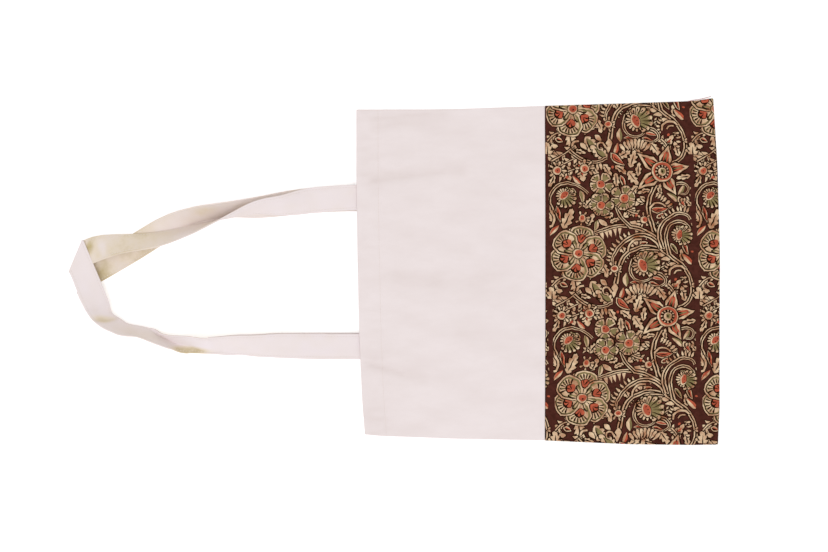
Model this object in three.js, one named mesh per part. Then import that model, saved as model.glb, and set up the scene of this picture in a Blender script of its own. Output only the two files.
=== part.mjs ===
// A cotton tote bag lying flat on its back: a calico upper body, a block-printed lower body that
// folds round the base, and two sewn shoulder straps laid out past the mouth.
// +X runs from the straps to the base, +Y across the body, +Z up from the surface it lies on.
import * as THREE from "three";

// Driving dimensions, in millimetres
const CLOTH = 1.2; // one layer of cloth
const GAP = 0.3; // clearance between pieces that are sewn together
const HEM = 25; // depth of the turned-in hem round the mouth
const SEAM_X = 161; // seam between the calico and the print
const STRAP_WIDTH = 27;
const STRAP_CLOTH = 1.6; // a strap is one strip folded in and stitched flat
const STRAP_FOLD = 2.7; // rise from layer to layer where a strap is folded over
const SKEW_RUN = 24; // length over which a strap's rulings turn to meet a fold

// Colours and finish of the cloth
const CALICO = 0xe9dedc;
const STRAP_CALICO = 0xeae0de;
const PRINT_GROUND = 0x50231e;
const MATT = 0.9; // roughness

// Half widths of the body on its two sides, from the mouth to the base
const SIDES = [
  { x: -39, plusY: 170.5, minusY: 172.5 },
  { x: -18, plusY: 170.5, minusY: 175.5 },
  { x: 60, plusY: 170.5, minusY: 177.0 },
  { x: 161, plusY: 175.0, minusY: 180.0 },
  { x: 250, plusY: 177.5, minusY: 183.5 },
  { x: 316, plusY: 180.5, minusY: 184.5 },
  { x: 345, plusY: 184.5, minusY: 184.5 },
];

// The mouth and the base are nearly straight: across runs from -1 to 1 over the width
const ENDS = [
  { across: -1.0, mouth: -29.5, base: 342.5 },
  { across: -0.8, mouth: -33.0, base: 344.5 },
  { across: -0.4, mouth: -36.5, base: 344.5 },
  { across: 0.1, mouth: -38.0, base: 344.5 },
  { across: 0.6, mouth: -39.0, base: 342.5 },
  { across: 1.0, mouth: -39.2, base: 337.5 },
];

// Height of the front's outer face: at the side seams, and how far it swells between them
const SWELL = [
  { x: -40, side: 5.1, loft: 8.0 },
  { x: -2, side: 5.1, loft: 8.2 },
  { x: 25, side: 2.7, loft: 10.2 },
  { x: 161, side: 2.7, loft: 9.6 },
  { x: 250, side: 2.7, loft: 8.6 },
  { x: 312, side: 2.7, loft: 5.6 },
  { x: 336, side: 2.7, loft: 2.4 },
];
const SWELL_POWER = 2.4;

// Soft dents in the front, each along a line from (x, y) to (toX, toY)
const DENTS = [
  { x: -22, y: 99, toX: 70, toY: 106, width: 7, depth: 0.9 },
  { x: -20, y: 150, toX: 50, toY: 165, width: 7, depth: 0.8 },
  { x: 0, y: -4, toX: 118, toY: -16, width: 11, depth: 0.9 },
  { x: -22, y: -99, toX: 28, toY: -114, width: 8, depth: 0.8 },
  { x: 312, y: 150, toX: 322, toY: -160, width: 5, depth: 0.9 },
];

// A strap's rows follow it from one end in the hem to the other. (x, y) is a point of its middle
// line, or of the lengthwise crease where it has one, lift is the height under its lowest point
// and turn is how far it is rolled about its length. At a crease, split is the share of the width
// before it and before is the turn of that share. Where the strap is folded over on itself,
// leaves is the turn that it goes on with, one layer higher
const FRONT_STRAP = [
  { x: -13.5, y: 76.9, lift: 6.8, turn: -2 },
  { x: -38.0, y: 76.9, lift: 6.8, turn: -2 },
  { x: -62.5, y: 75.8, lift: 5.8, turn: 0 },
  { x: -86.9, y: 73.7, lift: 4.4, turn: 8 },
  { x: -115.5, y: 68.4, lift: 5.0, turn: 38 },
  { x: -144.2, y: 65.7, lift: 6.4, turn: 62 },
  { x: -179.1, y: 54.6, lift: 2.0, turn: 90 },
  { x: -214.1, y: 42.4, lift: 3.0, turn: 113 },
  { x: -248.0, y: 32.3, lift: 7.4, turn: 126 },
  { x: -282.0, y: 28.1, lift: 4.2, turn: 136 },
  { x: -299.0, y: 26.0, lift: 4.4, turn: 150 },
  { x: -315.0, y: 22.3, lift: 5.8, turn: 172 },
  { x: -335.8, y: 14.0, lift: 5.8, turn: 180, leaves: 360 },
  { x: -328.1, y: -4.2, lift: 8.5, turn: 360 },
  { x: -315.4, y: -35.0, lift: 8.5, turn: 360 },
  { x: -305.0, y: -52.5, lift: 8.2, turn: 383 },
  { x: -289.0, y: -61.5, lift: 6.8, turn: 414 },
  { x: -267.1, y: -60.4, lift: 5.8, turn: 427, split: 0.04 },
  { x: -248.0, y: -70.0, lift: 5.8, turn: 426, split: 0.24, before: 300 },
  { x: -232.1, y: -77.4, lift: 4.8, turn: 420, split: 0.49, before: 310 },
  { x: -216.2, y: -81.1, lift: 4.4, turn: 385, split: 0.69, before: 307 },
  { x: -195.0, y: -88.0, lift: 4.4, turn: 385, split: 0.96, before: 312 },
  { x: -163.2, y: -79.5, lift: 3.8, turn: 322 },
  { x: -120.8, y: -80.3, lift: 3.2, turn: 343 },
  { x: -78.4, y: -81.1, lift: 4.0, turn: 358 },
  { x: -38.0, y: -81.1, lift: 6.2, turn: 358 },
  { x: -13.5, y: -81.1, lift: 6.2, turn: 358 },
];
const BACK_STRAP = [
  { x: -13.5, y: 75.8, lift: 2.7, turn: 0 },
  { x: -38.0, y: 75.8, lift: 2.7, turn: 0 },
  { x: -62.5, y: 75.3, lift: 1.2, turn: 0 },
  { x: -94.3, y: 73.1, lift: 0.4, turn: 8 },
  { x: -144.2, y: 67.2, lift: 0.4, turn: 36 },
  { x: -179.1, y: 65.8, lift: 0.4, turn: 54 },
  { x: -214.1, y: 59.0, lift: 0.4, turn: 48 },
  { x: -242.7, y: 44.0, lift: 0.4, turn: 20 },
  { x: -279.8, y: 21.2, lift: 0.4, turn: 0 },
  { x: -303.2, y: 7.4, lift: 0.4, turn: 0 },
  { x: -329.7, y: -7.4, lift: 0.4, turn: 0, leaves: 180 },
  { x: -319.1, y: -30.7, lift: 3.1, turn: 180 },
  { x: -305.5, y: -53.0, lift: 3.0, turn: 203 },
  { x: -289.0, y: -62.0, lift: 1.2, turn: 234 },
  { x: -267.1, y: -60.4, lift: 0.4, turn: 247, split: 0.96 },
  { x: -248.0, y: -70.0, lift: 0.4, turn: 120, split: 0.76, before: 246 },
  { x: -232.1, y: -77.4, lift: 0.4, turn: 130, split: 0.51, before: 240 },
  { x: -216.2, y: -81.1, lift: 0.4, turn: 127, split: 0.31, before: 205 },
  { x: -195.0, y: -88.0, lift: 0.4, turn: 132, split: 0.04, before: 205 },
  { x: -163.2, y: -79.0, lift: 0.4, turn: 144 },
  { x: -120.8, y: -79.6, lift: 0.4, turn: 165 },
  { x: -62.0, y: -80.0, lift: 1.2, turn: 180 },
  { x: -38.0, y: -80.0, lift: 2.7, turn: 180 },
  { x: -13.5, y: -80.0, lift: 2.7, turn: 180 },
];

// Steps of the meshes
const ACROSS_STEPS = 22; // across the body
const CANVAS_STEPS = 12; // from the hem to the seam
const PRINT_STEPS = 13; // from the seam to the base fold
const FOLD_STEPS = 6; // round a fold
const STRAP_STEPS = 3; // between two rows of a strap
const HEM_STEP = 0.4; // length of the hem's inner edge
const SPLIT_EDGE = 0.04; // nearest that a strap's crease comes to its edge

const UP = new THREE.Vector3(0, 0, 1);

// Value of a table's column at a place between its rows
function read(table, key, at, column) {
  const last = table.length - 1;
  if (at <= table[0][key]) return table[0][column];
  if (at >= table[last][key]) return table[last][column];
  const next = table.findIndex((row) => row[key] >= at);
  const [a, b] = [table[next - 1], table[next]];
  return THREE.MathUtils.mapLinear(at, a[key], b[key], a[column], b[column]);
}

function range(from, to, steps) {
  return Array.from({ length: steps + 1 }, (_, i) => from + ((to - from) * i) / steps);
}

function dentDepth(x, y) {
  let depth = 0;
  for (const dent of DENTS) {
    const line = new THREE.Line3(
      new THREE.Vector3(dent.x, dent.y, 0),
      new THREE.Vector3(dent.toX, dent.toY, 0),
    );
    const point = new THREE.Vector3(x, y, 0);
    const along = line.closestPointToPointParameter(point, true);
    const away = line.at(along, new THREE.Vector3()).distanceTo(point) / dent.width;
    depth += dent.depth * Math.exp(-away * away);
  }
  return depth;
}

function sideY(x, across) {
  return across * read(SIDES, "x", x, across > 0 ? "plusY" : "minusY");
}

// How full the front is across the width: 0 at the side seams, 1 in the middle
function fullness(across) {
  return 1 - Math.abs(across) ** SWELL_POWER;
}

function frontHeight(x, across) {
  const full = fullness(across);
  const swell = read(SWELL, "x", x, "side") + read(SWELL, "x", x, "loft") * full;
  return swell - dentDepth(x, sideY(x, across)) * Math.sqrt(full);
}

// A closed wall between two grids of points: on the upper one, rows by columns face outwards
function wall(upper, lower) {
  const rows = upper.length;
  const columns = upper[0].length;
  const positions = [];
  for (const grid of [upper, lower]) {
    for (const row of grid) for (const point of row) positions.push(point.x, point.y, point.z);
  }
  const at = (face, i, j) => face * rows * columns + i * columns + j;
  const index = [];
  const quad = (a, b, c, d) => index.push(a, b, c, a, c, d);
  for (let i = 0; i + 1 < rows; i += 1) {
    for (let j = 0; j + 1 < columns; j += 1) {
      quad(at(0, i, j), at(0, i + 1, j), at(0, i + 1, j + 1), at(0, i, j + 1));
      quad(at(1, i, j), at(1, i, j + 1), at(1, i + 1, j + 1), at(1, i + 1, j));
    }
    const last = columns - 1;
    quad(at(0, i, 0), at(1, i, 0), at(1, i + 1, 0), at(0, i + 1, 0));
    quad(at(0, i, last), at(0, i + 1, last), at(1, i + 1, last), at(1, i, last));
  }
  for (let j = 0; j + 1 < columns; j += 1) {
    const last = rows - 1;
    quad(at(0, 0, j), at(0, 0, j + 1), at(1, 0, j + 1), at(1, 0, j));
    quad(at(0, last, j), at(1, last, j), at(1, last, j + 1), at(0, last, j + 1));
  }
  const geometry = new THREE.BufferGeometry();
  geometry.setAttribute("position", new THREE.Float32BufferAttribute(positions, 3));
  geometry.setIndex(index);
  geometry.computeVertexNormals();
  return geometry;
}

function cloth(name, geometry, color) {
  const material = new THREE.MeshStandardMaterial({ color, roughness: MATT, metalness: 0 });
  const mesh = new THREE.Mesh(geometry, material);
  mesh.name = name;
  return mesh;
}

const ACROSS = range(1, -1, ACROSS_STEPS);

// Upper front and back: from the mouth to the seam, doubled by the hem along the mouth
function canvasStations(across) {
  const mouth = read(ENDS, "across", across, "mouth");
  const hemEdge = mouth + HEM;
  const body = range(hemEdge + HEM_STEP, SEAM_X - GAP / 2, CANVAS_STEPS);
  return [mouth, mouth + HEM / 2, hemEdge, ...body].map((x, i) => ({ x, layers: i < 3 ? 2 : 1 }));
}

function canvasWall(outerZ, innerZ) {
  const columns = ACROSS.map((across) =>
    canvasStations(across).map(({ x, layers }) => {
      const y = sideY(x, across);
      return {
        outer: new THREE.Vector3(x, y, outerZ(x, across)),
        inner: new THREE.Vector3(x, y, innerZ(x, across, layers)),
      };
    }),
  );
  const side = (key) => columns.map((column) => column.map((station) => station[key]));
  return [side("outer"), side("inner")];
}

function canvasFront() {
  const below = (x, across, layers) => frontHeight(x, across) - CLOTH * layers;
  const [outer, inner] = canvasWall(frontHeight, below);
  return cloth("canvas_front", wall(outer, inner), CALICO);
}

function canvasBack() {
  const [outer, inner] = canvasWall(
    () => 0,
    (x, across, layers) => CLOTH * layers,
  );
  return cloth("canvas_back", wall(inner, outer), CALICO);
}

// Lower body: down the front from the seam, round the base and back along the surface
function printColumn(across) {
  const base = read(ENDS, "across", across, "base");
  const foldRadius = frontHeight(base, across) / 2;
  const foldX = base - foldRadius;
  const start = SEAM_X + GAP / 2;
  const outer = [];
  const inner = [];
  for (const x of range(start, foldX, PRINT_STEPS)) {
    const y = sideY(x, across);
    const z = x === foldX ? 2 * foldRadius : frontHeight(x, across);
    outer.push(new THREE.Vector3(x, y, z));
    inner.push(new THREE.Vector3(x, y, z - CLOTH));
  }
  const y = sideY(foldX, across);
  for (const angle of range(Math.PI / 2, -Math.PI / 2, FOLD_STEPS).slice(1, -1)) {
    for (const [face, radius] of [[outer, foldRadius], [inner, foldRadius - CLOTH]]) {
      const x = foldX + radius * Math.cos(angle);
      face.push(new THREE.Vector3(x, y, foldRadius + radius * Math.sin(angle)));
    }
  }
  for (const x of range(foldX, start, PRINT_STEPS)) {
    outer.push(new THREE.Vector3(x, sideY(x, across), 0));
    inner.push(new THREE.Vector3(x, sideY(x, across), CLOTH));
  }
  return { outer, inner };
}

function printPanel() {
  const columns = ACROSS.map(printColumn);
  const geometry = wall(columns.map((column) => column.outer), columns.map((column) => column.inner));
  return cloth("print_panel", geometry, PRINT_GROUND);
}

// Plan direction from one row of a strap to another
function heading(from, to) {
  return new THREE.Vector3(to.x - from.x, to.y - from.y, 0).normalize();
}

// A fold's crease halves the turn between the strap's two directions
function creaseAt(rows, index) {
  const arriving = heading(rows[index - 1], rows[index]);
  const leaving = heading(rows[index], rows[index + 1]);
  const along = arriving.clone().add(leaving).normalize();
  const outward = arriving.clone().addScaledVector(along, -arriving.dot(along)).normalize();
  const half = STRAP_WIDTH / 2 / arriving.dot(outward);
  return { along, outward, half, row: rows[index] };
}

// A value that changes smoothly along a stretch's rows
function smooth(values) {
  const curve = new THREE.CatmullRomCurve3(values.map((value) => new THREE.Vector3(value, 0, 0)));
  return (t) => curve.getPoint(t).x;
}

// Direction across a strap that travels one way and is rolled by an angle in degrees
function rolled(travel, turn) {
  const angle = THREE.MathUtils.degToRad(turn);
  const across = new THREE.Vector3(travel.y, -travel.x, 0).multiplyScalar(Math.cos(angle));
  return across.addScaledVector(UP, Math.sin(angle));
}

// Sections of the stretch between two folds or ends: three points across, each with its normal
function legSections(rows, startCrease, endCrease) {
  const route = new THREE.CatmullRomCurve3(rows.map((row) => new THREE.Vector3(row.x, row.y, 0)));
  const [start, ...others] = rows;
  const { lift: low, leaves } = start;
  const first = startCrease ? { ...start, lift: low + STRAP_FOLD, turn: leaves } : start;
  const leg = [first, ...others].map((row) => ({ split: 0.5, before: row.turn, ...row }));
  const [lift, turn, before, split] = ["lift", "turn", "before", "split"].map((column) =>
    smooth(leg.map((row) => row[column])),
  );
  return range(0, 1, (rows.length - 1) * STRAP_STEPS).map((t) => {
    const middle = route.getPoint(t);
    const travel = route.getTangent(t).setZ(0).normalize();
    const share = THREE.MathUtils.clamp(split(t), SPLIT_EDGE, 1 - SPLIT_EDGE);
    const acrossBefore = rolled(travel, before(t));
    const acrossAfter = rolled(travel, turn(t));
    const edge = middle.clone().addScaledVector(acrossBefore, -share * STRAP_WIDTH);
    const farEdge = middle.clone().addScaledVector(acrossAfter, (1 - share) * STRAP_WIDTH);
    for (const crease of [startCrease, endCrease]) {
      if (!crease) continue;
      const away = Math.hypot(middle.x - crease.row.x, middle.y - crease.row.y);
      const skew = Math.max(0, 1 - away / SKEW_RUN) * crease.half * crease.along.dot(travel);
      const side = Math.sign(crease.along.dot(acrossAfter));
      edge.addScaledVector(travel, -side * skew);
      farEdge.addScaledVector(travel, side * skew);
    }
    const acrossMiddle = acrossBefore.clone().add(acrossAfter);
    const normals = [acrossBefore, acrossMiddle, acrossAfter].map((across) =>
      across.clone().cross(travel).normalize(),
    );
    const points = [edge, middle, farEdge];
    const under = points.map((point, i) => point.z - (Math.abs(normals[i].z) * STRAP_CLOTH) / 2);
    const rise = Math.max(lift(t), GAP) - Math.min(...under);
    return { points: points.map((point) => point.addScaledVector(UP, rise)), normals };
  });
}

// Sections round a fold, from the layer below to the layer above
function foldSections(crease, before) {
  const radius = STRAP_FOLD / 2;
  const [first, , last] = before.points;
  const side = Math.sign(crease.along.dot(last.clone().sub(first)));
  const ruling = crease.along.clone().multiplyScalar(side);
  return range(0, Math.PI, FOLD_STEPS).slice(1, -1).map((angle) => {
    const travel = crease.outward.clone().multiplyScalar(Math.cos(angle));
    travel.addScaledVector(UP, Math.sin(angle));
    const normal = ruling.clone().cross(travel).normalize();
    const points = before.points.map((point) =>
      point
        .clone()
        .addScaledVector(crease.outward, radius * Math.sin(angle))
        .addScaledVector(UP, radius * (1 - Math.cos(angle))),
    );
    return { points, normals: [normal, normal, normal] };
  });
}

function strap(name, rows) {
  const folds = rows.flatMap((row, i) => ("leaves" in row ? [i] : []));
  const creases = folds.map((i) => creaseAt(rows, i));
  const stops = [0, ...folds, rows.length - 1];
  const sections = [];
  for (let leg = 0; leg + 1 < stops.length; leg += 1) {
    if (leg > 0) sections.push(...foldSections(creases[leg - 1], sections.at(-1)));
    const stretch = rows.slice(stops[leg], stops[leg + 1] + 1);
    sections.push(...legSections(stretch, creases[leg - 1], creases[leg]));
  }
  const face = (offset) =>
    sections.map(({ points, normals }) =>
      points.map((point, i) => point.clone().addScaledVector(normals[i], offset)),
    );
  const geometry = wall(face(-STRAP_CLOTH / 2), face(STRAP_CLOTH / 2));
  return cloth(name, geometry, STRAP_CALICO);
}

const bag = new THREE.Group();
bag.add(canvasFront(), canvasBack(), printPanel());
bag.add(strap("strap_front", FRONT_STRAP), strap("strap_back", BACK_STRAP));

export default bag;
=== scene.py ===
import math

import bmesh
import bpy
import numpy as np
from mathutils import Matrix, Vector, geometry


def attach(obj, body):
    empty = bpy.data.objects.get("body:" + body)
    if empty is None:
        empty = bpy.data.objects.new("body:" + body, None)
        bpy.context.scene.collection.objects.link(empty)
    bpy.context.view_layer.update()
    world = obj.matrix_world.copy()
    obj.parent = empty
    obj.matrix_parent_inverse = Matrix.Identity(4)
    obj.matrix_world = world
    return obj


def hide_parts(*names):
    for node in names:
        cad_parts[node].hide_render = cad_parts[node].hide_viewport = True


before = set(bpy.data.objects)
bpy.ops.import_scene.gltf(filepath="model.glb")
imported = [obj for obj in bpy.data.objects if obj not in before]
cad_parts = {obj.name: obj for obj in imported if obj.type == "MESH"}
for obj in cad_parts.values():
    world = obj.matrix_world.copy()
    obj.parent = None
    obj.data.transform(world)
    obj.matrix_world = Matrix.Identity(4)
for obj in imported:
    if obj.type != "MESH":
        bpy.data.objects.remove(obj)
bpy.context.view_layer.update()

# The front of the bag's upper body: one piece of unbleached calico, a plain-woven cotton.
# Its mouth edge is turned in as a hem of two layers, its sides are turned in and sewn to the back,
# and its lower edge is sewn to the print. It swells a little and keeps the creases of packing.

# Millimetres: x from the mouth to the base, y across the bag, z up from the surface it lies on
MM = 0.001
CLOTH = 1.2
HEM = 25.0
HEM_STITCHES = 23.0
SEAM_X = 160.2
SEAM_GAP = 0.3
CALICO_END = SEAM_X - SEAM_GAP / 2


def eased(axis, at, values, spread):
    """A table's column read along an axis, with the corners at its rows rounded off."""
    kernel = np.hanning(2 * spread + 1)
    line = np.pad(np.interp(axis, at, values), spread, mode="edge")
    return np.convolve(line, kernel / kernel.sum(), mode="valid")


# Along the bag: its two sides, how high the front stands at them, and its swell between them
REACH = np.linspace(-80, 380, 921)
SIDE_ROWS = (-39, -18, 60, 161, 250, 316, 345)
PLUS_SIDE = eased(REACH, SIDE_ROWS, (170.1, 170.1, 170.7, 174.3, 177.0, 179.3, 183.2), 24)
MINUS_SIDE = eased(REACH, SIDE_ROWS, (173.5, 175.9, 179.2, 181.1, 185.1, 185.9, 185.4), 24)
SWELL_ROWS = (-40, -2, 25, 161, 250, 312, 336)
PRESSED = eased(REACH, SWELL_ROWS, (5.1, 5.1, 2.7, 2.7, 2.7, 2.7, 2.7), 24)
LOFT = eased(REACH, SWELL_ROWS, (8, 8.2, 10.2, 9.6, 8.6, 5.6, 2.4), 24)

# Across the bag, from one side at -1 to the other at 1: the mouth edge and the base fold
WIDTHWISE = np.linspace(-1, 1, 401)
END_ROWS = (-1, -0.8, -0.4, 0.1, 0.6, 1)
MOUTH = eased(WIDTHWISE, END_ROWS, (-30.8, -33.6, -36.6, -38.5, -39.8, -40), 20)
BASE = eased(WIDTHWISE, END_ROWS, (344, 345.7, 345.5, 345.9, 343.5, 339), 20)

# Creases, each from (x, y) to (x, y) with a width and a depth
CREASES = (
    (-22, 99, 70, 106, 7, 0.9),
    (-20, 150, 50, 165, 7, 0.8),
    (4, -4, 46, -13, 9, 0.6),
    (46, -13, 124, -18, 12, 0.35),
    (-22, -99, 28, -114, 8, 0.8),
    (312, 150, 322, -160, 5, 0.9),
    (-31, -97.5, 8, -110.5, 1.8, 0.75),
    (-24, 159, 36, 166, 2.0, 0.55),
    (-24, 151, 12, 156, 1.8, 0.35),
    (-24, 93, 52, 104, 2.2, 0.5),
    (60, 60, 128, 20, 9, 0.35),
    (70, -60, 150, -96, 10, 0.4),
    (20, 40, 74, 30, 8, 0.3),
    (88, 130, 156, 118, 7, 0.35),
    (314, 168, 322, -168, 1.6, 0.4),
    (196, -120, 262, -60, 12, 0.35),
    (186, 96, 270, 130, 12, 0.3),
    (-24, -160, 40, -170, 6, 0.5),
)

# Unevenness of the loose cloth, as a height, the size of its dents and a seed
UNEVEN = ((0.5, 61, 3), (0.26, 23, 4), (0.07, 9, 5))
LOOSE_FROM, LOOSE_OVER = -10, 25
TAUT_FROM, TAUT_OVER = 322, 16
PILLOW = 2.4


def half_width(x, across):
    return np.where(across > 0, np.interp(x, REACH, PLUS_SIDE), np.interp(x, REACH, MINUS_SIDE))


def smoothstep(t):
    t = np.clip(t, 0, 1)
    return t * t * (3 - 2 * t)


def bell(away, width):
    return np.exp(-((away / width) ** 2))


def relief(x, y, cell, seed):
    """Soft unevenness from -1 to 1: seeded heights on a square grid, joined smoothly."""
    cells, middle_x, middle_y = 64, 31.4, 31.7
    heights = np.random.default_rng(seed).uniform(-1, 1, (cells + 1, cells + 1))
    u, v = np.asarray(x) / cell + middle_x, np.asarray(y) / cell + middle_y
    i, j = np.floor(u).astype(int) % cells, np.floor(v).astype(int) % cells
    a, b = smoothstep(u - np.floor(u)), smoothstep(v - np.floor(v))
    low = heights[i, j] * (1 - a) + heights[i + 1, j] * a
    high = heights[i, j + 1] * (1 - a) + heights[i + 1, j + 1] * a
    return low * (1 - b) + high * b


def crease_depth(x, y):
    """How deep the creases are at a place, all together."""
    depth = np.zeros(np.broadcast(x, y).shape)
    for x0, y0, x1, y1, width, deep in CREASES:
        run = np.array([x1 - x0, y1 - y0], float)
        along = np.clip(((x - x0) * run[0] + (y - y0) * run[1]) / (run @ run), 0, 1)
        depth += deep * bell(np.hypot(x - x0 - along * run[0], y - y0 - along * run[1]), width)
    return depth


def fullness(across):
    """How far the swell fills out at a place across the bag: 1 in the middle, 0 at the sides."""
    return 1 - np.abs(across) ** PILLOW


def front_height(x, across):
    """Height of the front's outer face over the surface that the bag lies on."""
    full = fullness(across)
    y = across * half_width(x, across)
    swell = np.interp(x, REACH, PRESSED) + np.interp(x, REACH, LOFT) * full
    loose = smoothstep((x - LOOSE_FROM) / LOOSE_OVER) * (1 - smoothstep((x - TAUT_FROM) / TAUT_OVER))
    uneven = sum(height * relief(x, y, cell, seed) for height, cell, seed in UNEVEN)
    return swell + (uneven * loose - crease_depth(x, y)) * np.sqrt(full)


SIDE_ROUND = 1.0
SEAM_ROUND, SEAM_DIP = 2.6, 0.34


def rounded(near, radius):
    """How far a face falls away over the last millimetre or so before a folded edge."""
    deepest = 0.92 * radius
    left = np.clip(1 - near / radius, 0, 1)
    return deepest * (1 - np.sqrt(1 - left * left))


# Columns of points across the bag, and rows by their distance from the mouth or from the seam
EDGE_STEPS = np.array([0, 0.0012, 0.003, 0.0055, 0.009, 0.016])
BETWEEN_EDGES = np.linspace(-0.975, 0.975, 137)
ACROSS = np.concatenate([EDGE_STEPS - 1, BETWEEN_EDGES, (1 - EDGE_STEPS)[::-1]])
HEM_STATIONS = np.array([
    0, 0.12, 0.4, 0.8, 1.2, 3, 5.5, 8, 11, 14, 17, 19.5,
    21, 22, 22.6, HEM_STITCHES, 23.4, 24, HEM, 25.6, 26.2, 28,
])
SEAM_STATIONS = np.array([7, 5, 3.6, 2.5, 1.7, 1.1, 0.6, 0.25, 0])
ROWS_BETWEEN = 52


def calico_stations():
    """Distances from the mouth and places along the bag, on a grid of rows by columns."""
    mouth = np.interp(ACROSS, WIDTHWISE, MOUTH)
    near = mouth + HEM_STATIONS[:, None]
    share = np.linspace(0, 1, ROWS_BETWEEN + 2)[1:-1, None]
    body = near[-1] * (1 - share) + (CALICO_END - SEAM_STATIONS[0]) * share
    last = np.repeat(CALICO_END - SEAM_STATIONS[:, None], len(ACROSS), axis=1)
    x = np.concatenate([near, body, last])
    return x - mouth, x


def cloth_mesh(name, points, faces, chart):
    """A closed mesh of cloth from points in millimetres, with its own flat cutting plan as UV map."""
    mesh = bpy.data.meshes.new(name)
    mesh.from_pydata((np.asarray(points) * MM).tolist(), [], faces)
    shape = bmesh.new()
    shape.from_mesh(mesh)
    bmesh.ops.recalc_face_normals(shape, faces=shape.faces)
    shape.to_mesh(mesh)
    shape.free()
    corners = np.zeros(len(mesh.loops), dtype=np.int32)
    mesh.loops.foreach_get("vertex_index", corners)
    plan = mesh.uv_layers.new(name="cloth")
    plan.data.foreach_set("uv", (np.asarray(chart)[corners] * MM).astype(np.float32).ravel())
    mesh.polygons.foreach_set("use_smooth", np.ones(len(mesh.polygons), dtype=bool))
    sharp_edge = math.radians(60)
    mesh.set_sharp_from_angle(angle=sharp_edge)
    piece = bpy.data.objects.new(name, mesh)
    bpy.context.scene.collection.objects.link(piece)
    return piece


def cloth_wall(name, outer, inner, chart):
    """A closed sheet between two grids of points, rows by columns."""
    rows, columns = outer.shape[:2]
    number = np.arange(2 * rows * columns).reshape(2, rows, columns)

    def strip(*corners):
        return np.stack([corner.ravel() for corner in corners], axis=1)

    faces = []
    for grid in number:
        faces.append(strip(grid[:-1, :-1], grid[1:, :-1], grid[1:, 1:], grid[:-1, 1:]))
    for line in (number[:, 0, :], number[:, -1, :], number[:, :, 0], number[:, :, -1]):
        faces.append(strip(line[0, :-1], line[0, 1:], line[1, 1:], line[1, :-1]))
    points = np.concatenate([outer.reshape(-1, 3), inner.reshape(-1, 3)])
    plan = np.concatenate([chart.reshape(-1, 2)] * 2)
    return cloth_mesh(name, points, np.concatenate(faces).tolist(), plan)


def srgb(colour):
    """A colour as it is seen on a screen, from 0 to 255, for a shader."""
    parts = np.array(colour) / 255
    linear = np.where(parts <= 0.04045, parts / 12.92, ((parts + 0.055) / 1.055) ** 2.4)
    return (*linear.tolist(), 1.0)


def new_material(name, values):
    """A material with the given values on its main shader, its tree of nodes and that shader."""
    material = bpy.data.materials.new(name)
    material.use_nodes = True
    shader = material.node_tree.nodes["Principled BSDF"]
    for socket, value in values.items():
        shader.inputs[socket].default_value = value
    return material, material.node_tree, shader


def add_node(tree, kind, values=(), **settings):
    """A node of a tree, with the values of its inputs and its settings."""
    node = tree.nodes.new(kind)
    for setting, value in settings.items():
        setattr(node, setting, value)
    for socket, value in dict(values).items():
        node.inputs[socket].default_value = value
    return node


def wire(tree, *links):
    """Links in a tree, each as a node, its output, the next node and its input."""
    for start, output, end, entry in links:
        tree.links.new(start.outputs[output], end.inputs[entry])


def set_stops(ramp, *stops):
    """The places and colours of a ramp's stops."""
    for element, (position, colour) in zip(ramp.color_ramp.elements, stops):
        element.position = position
        element.color = srgb(colour)


def cloth_material(name, main, tint, patch, low, high, weave=0.3, grain=1.0, creased=0.0):
    """Matt woven cotton: one colour drifting to another in patches, and further towards the second as
    painted shade where the crease attribute says so, over its weave.
    """
    material, tree, shader = new_material(name, {"Roughness": 0.92, "Specular IOR Level": 0.03})
    place = add_node(tree, "ShaderNodeUVMap", uv_map="cloth")
    drawn = add_node(tree, "ShaderNodeMapping", {"Scale": (1 / grain, grain, 1)})
    cloudy = add_node(tree, "ShaderNodeTexNoise", {"Scale": patch, "Detail": 7.0, "Roughness": 0.62})
    # painted shade: the crease attribute moves the colour towards the darker tint
    mottle_and_crease_shade = add_node(tree, "ShaderNodeAttribute", attribute_name="crease")
    tone = add_node(tree, "ShaderNodeMath", {1: creased}, operation="MULTIPLY_ADD")
    drift = add_node(tree, "ShaderNodeValToRGB")
    set_stops(drift, (low, main), (high, tint))
    both = add_node(tree, "ShaderNodeMath", operation="ADD")
    raised = add_node(tree, "ShaderNodeBump", {"Strength": weave, "Distance": 0.18 * MM})
    for slot, direction in enumerate(("X", "Y")):
        size = {"Scale": 480.0, "Distortion": 1.2, "Detail": 1.0}
        threads = add_node(tree, "ShaderNodeTexWave", size, bands_direction=direction)
        wire(tree, (place, "UV", threads, "Vector"), (threads, "Fac", both, slot))
    wire(
        tree,
        (place, "UV", drawn, "Vector"),
        (drawn, "Vector", cloudy, "Vector"),
        (mottle_and_crease_shade, "Fac", tone, 0),
        (cloudy, "Fac", tone, 2),
        (tone, "Value", drift, "Fac"),
        (drift, "Color", shader, "Base Color"),
        (both, "Value", raised, "Height"),
        (raised, "Normal", shader, "Normal"),
    )
    return material


from_mouth, stations = calico_stations()
across_grid = np.broadcast_to(ACROSS, stations.shape)
widths = half_width(stations, across_grid)
calico_y = across_grid * widths
from_side = (1 - np.abs(across_grid)) * widths
calico_plan = np.stack([stations, calico_y], axis=2)


def at_height(z):
    """The calico's grid of points at the given heights."""
    return np.stack([stations, calico_y, z], axis=2)


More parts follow.
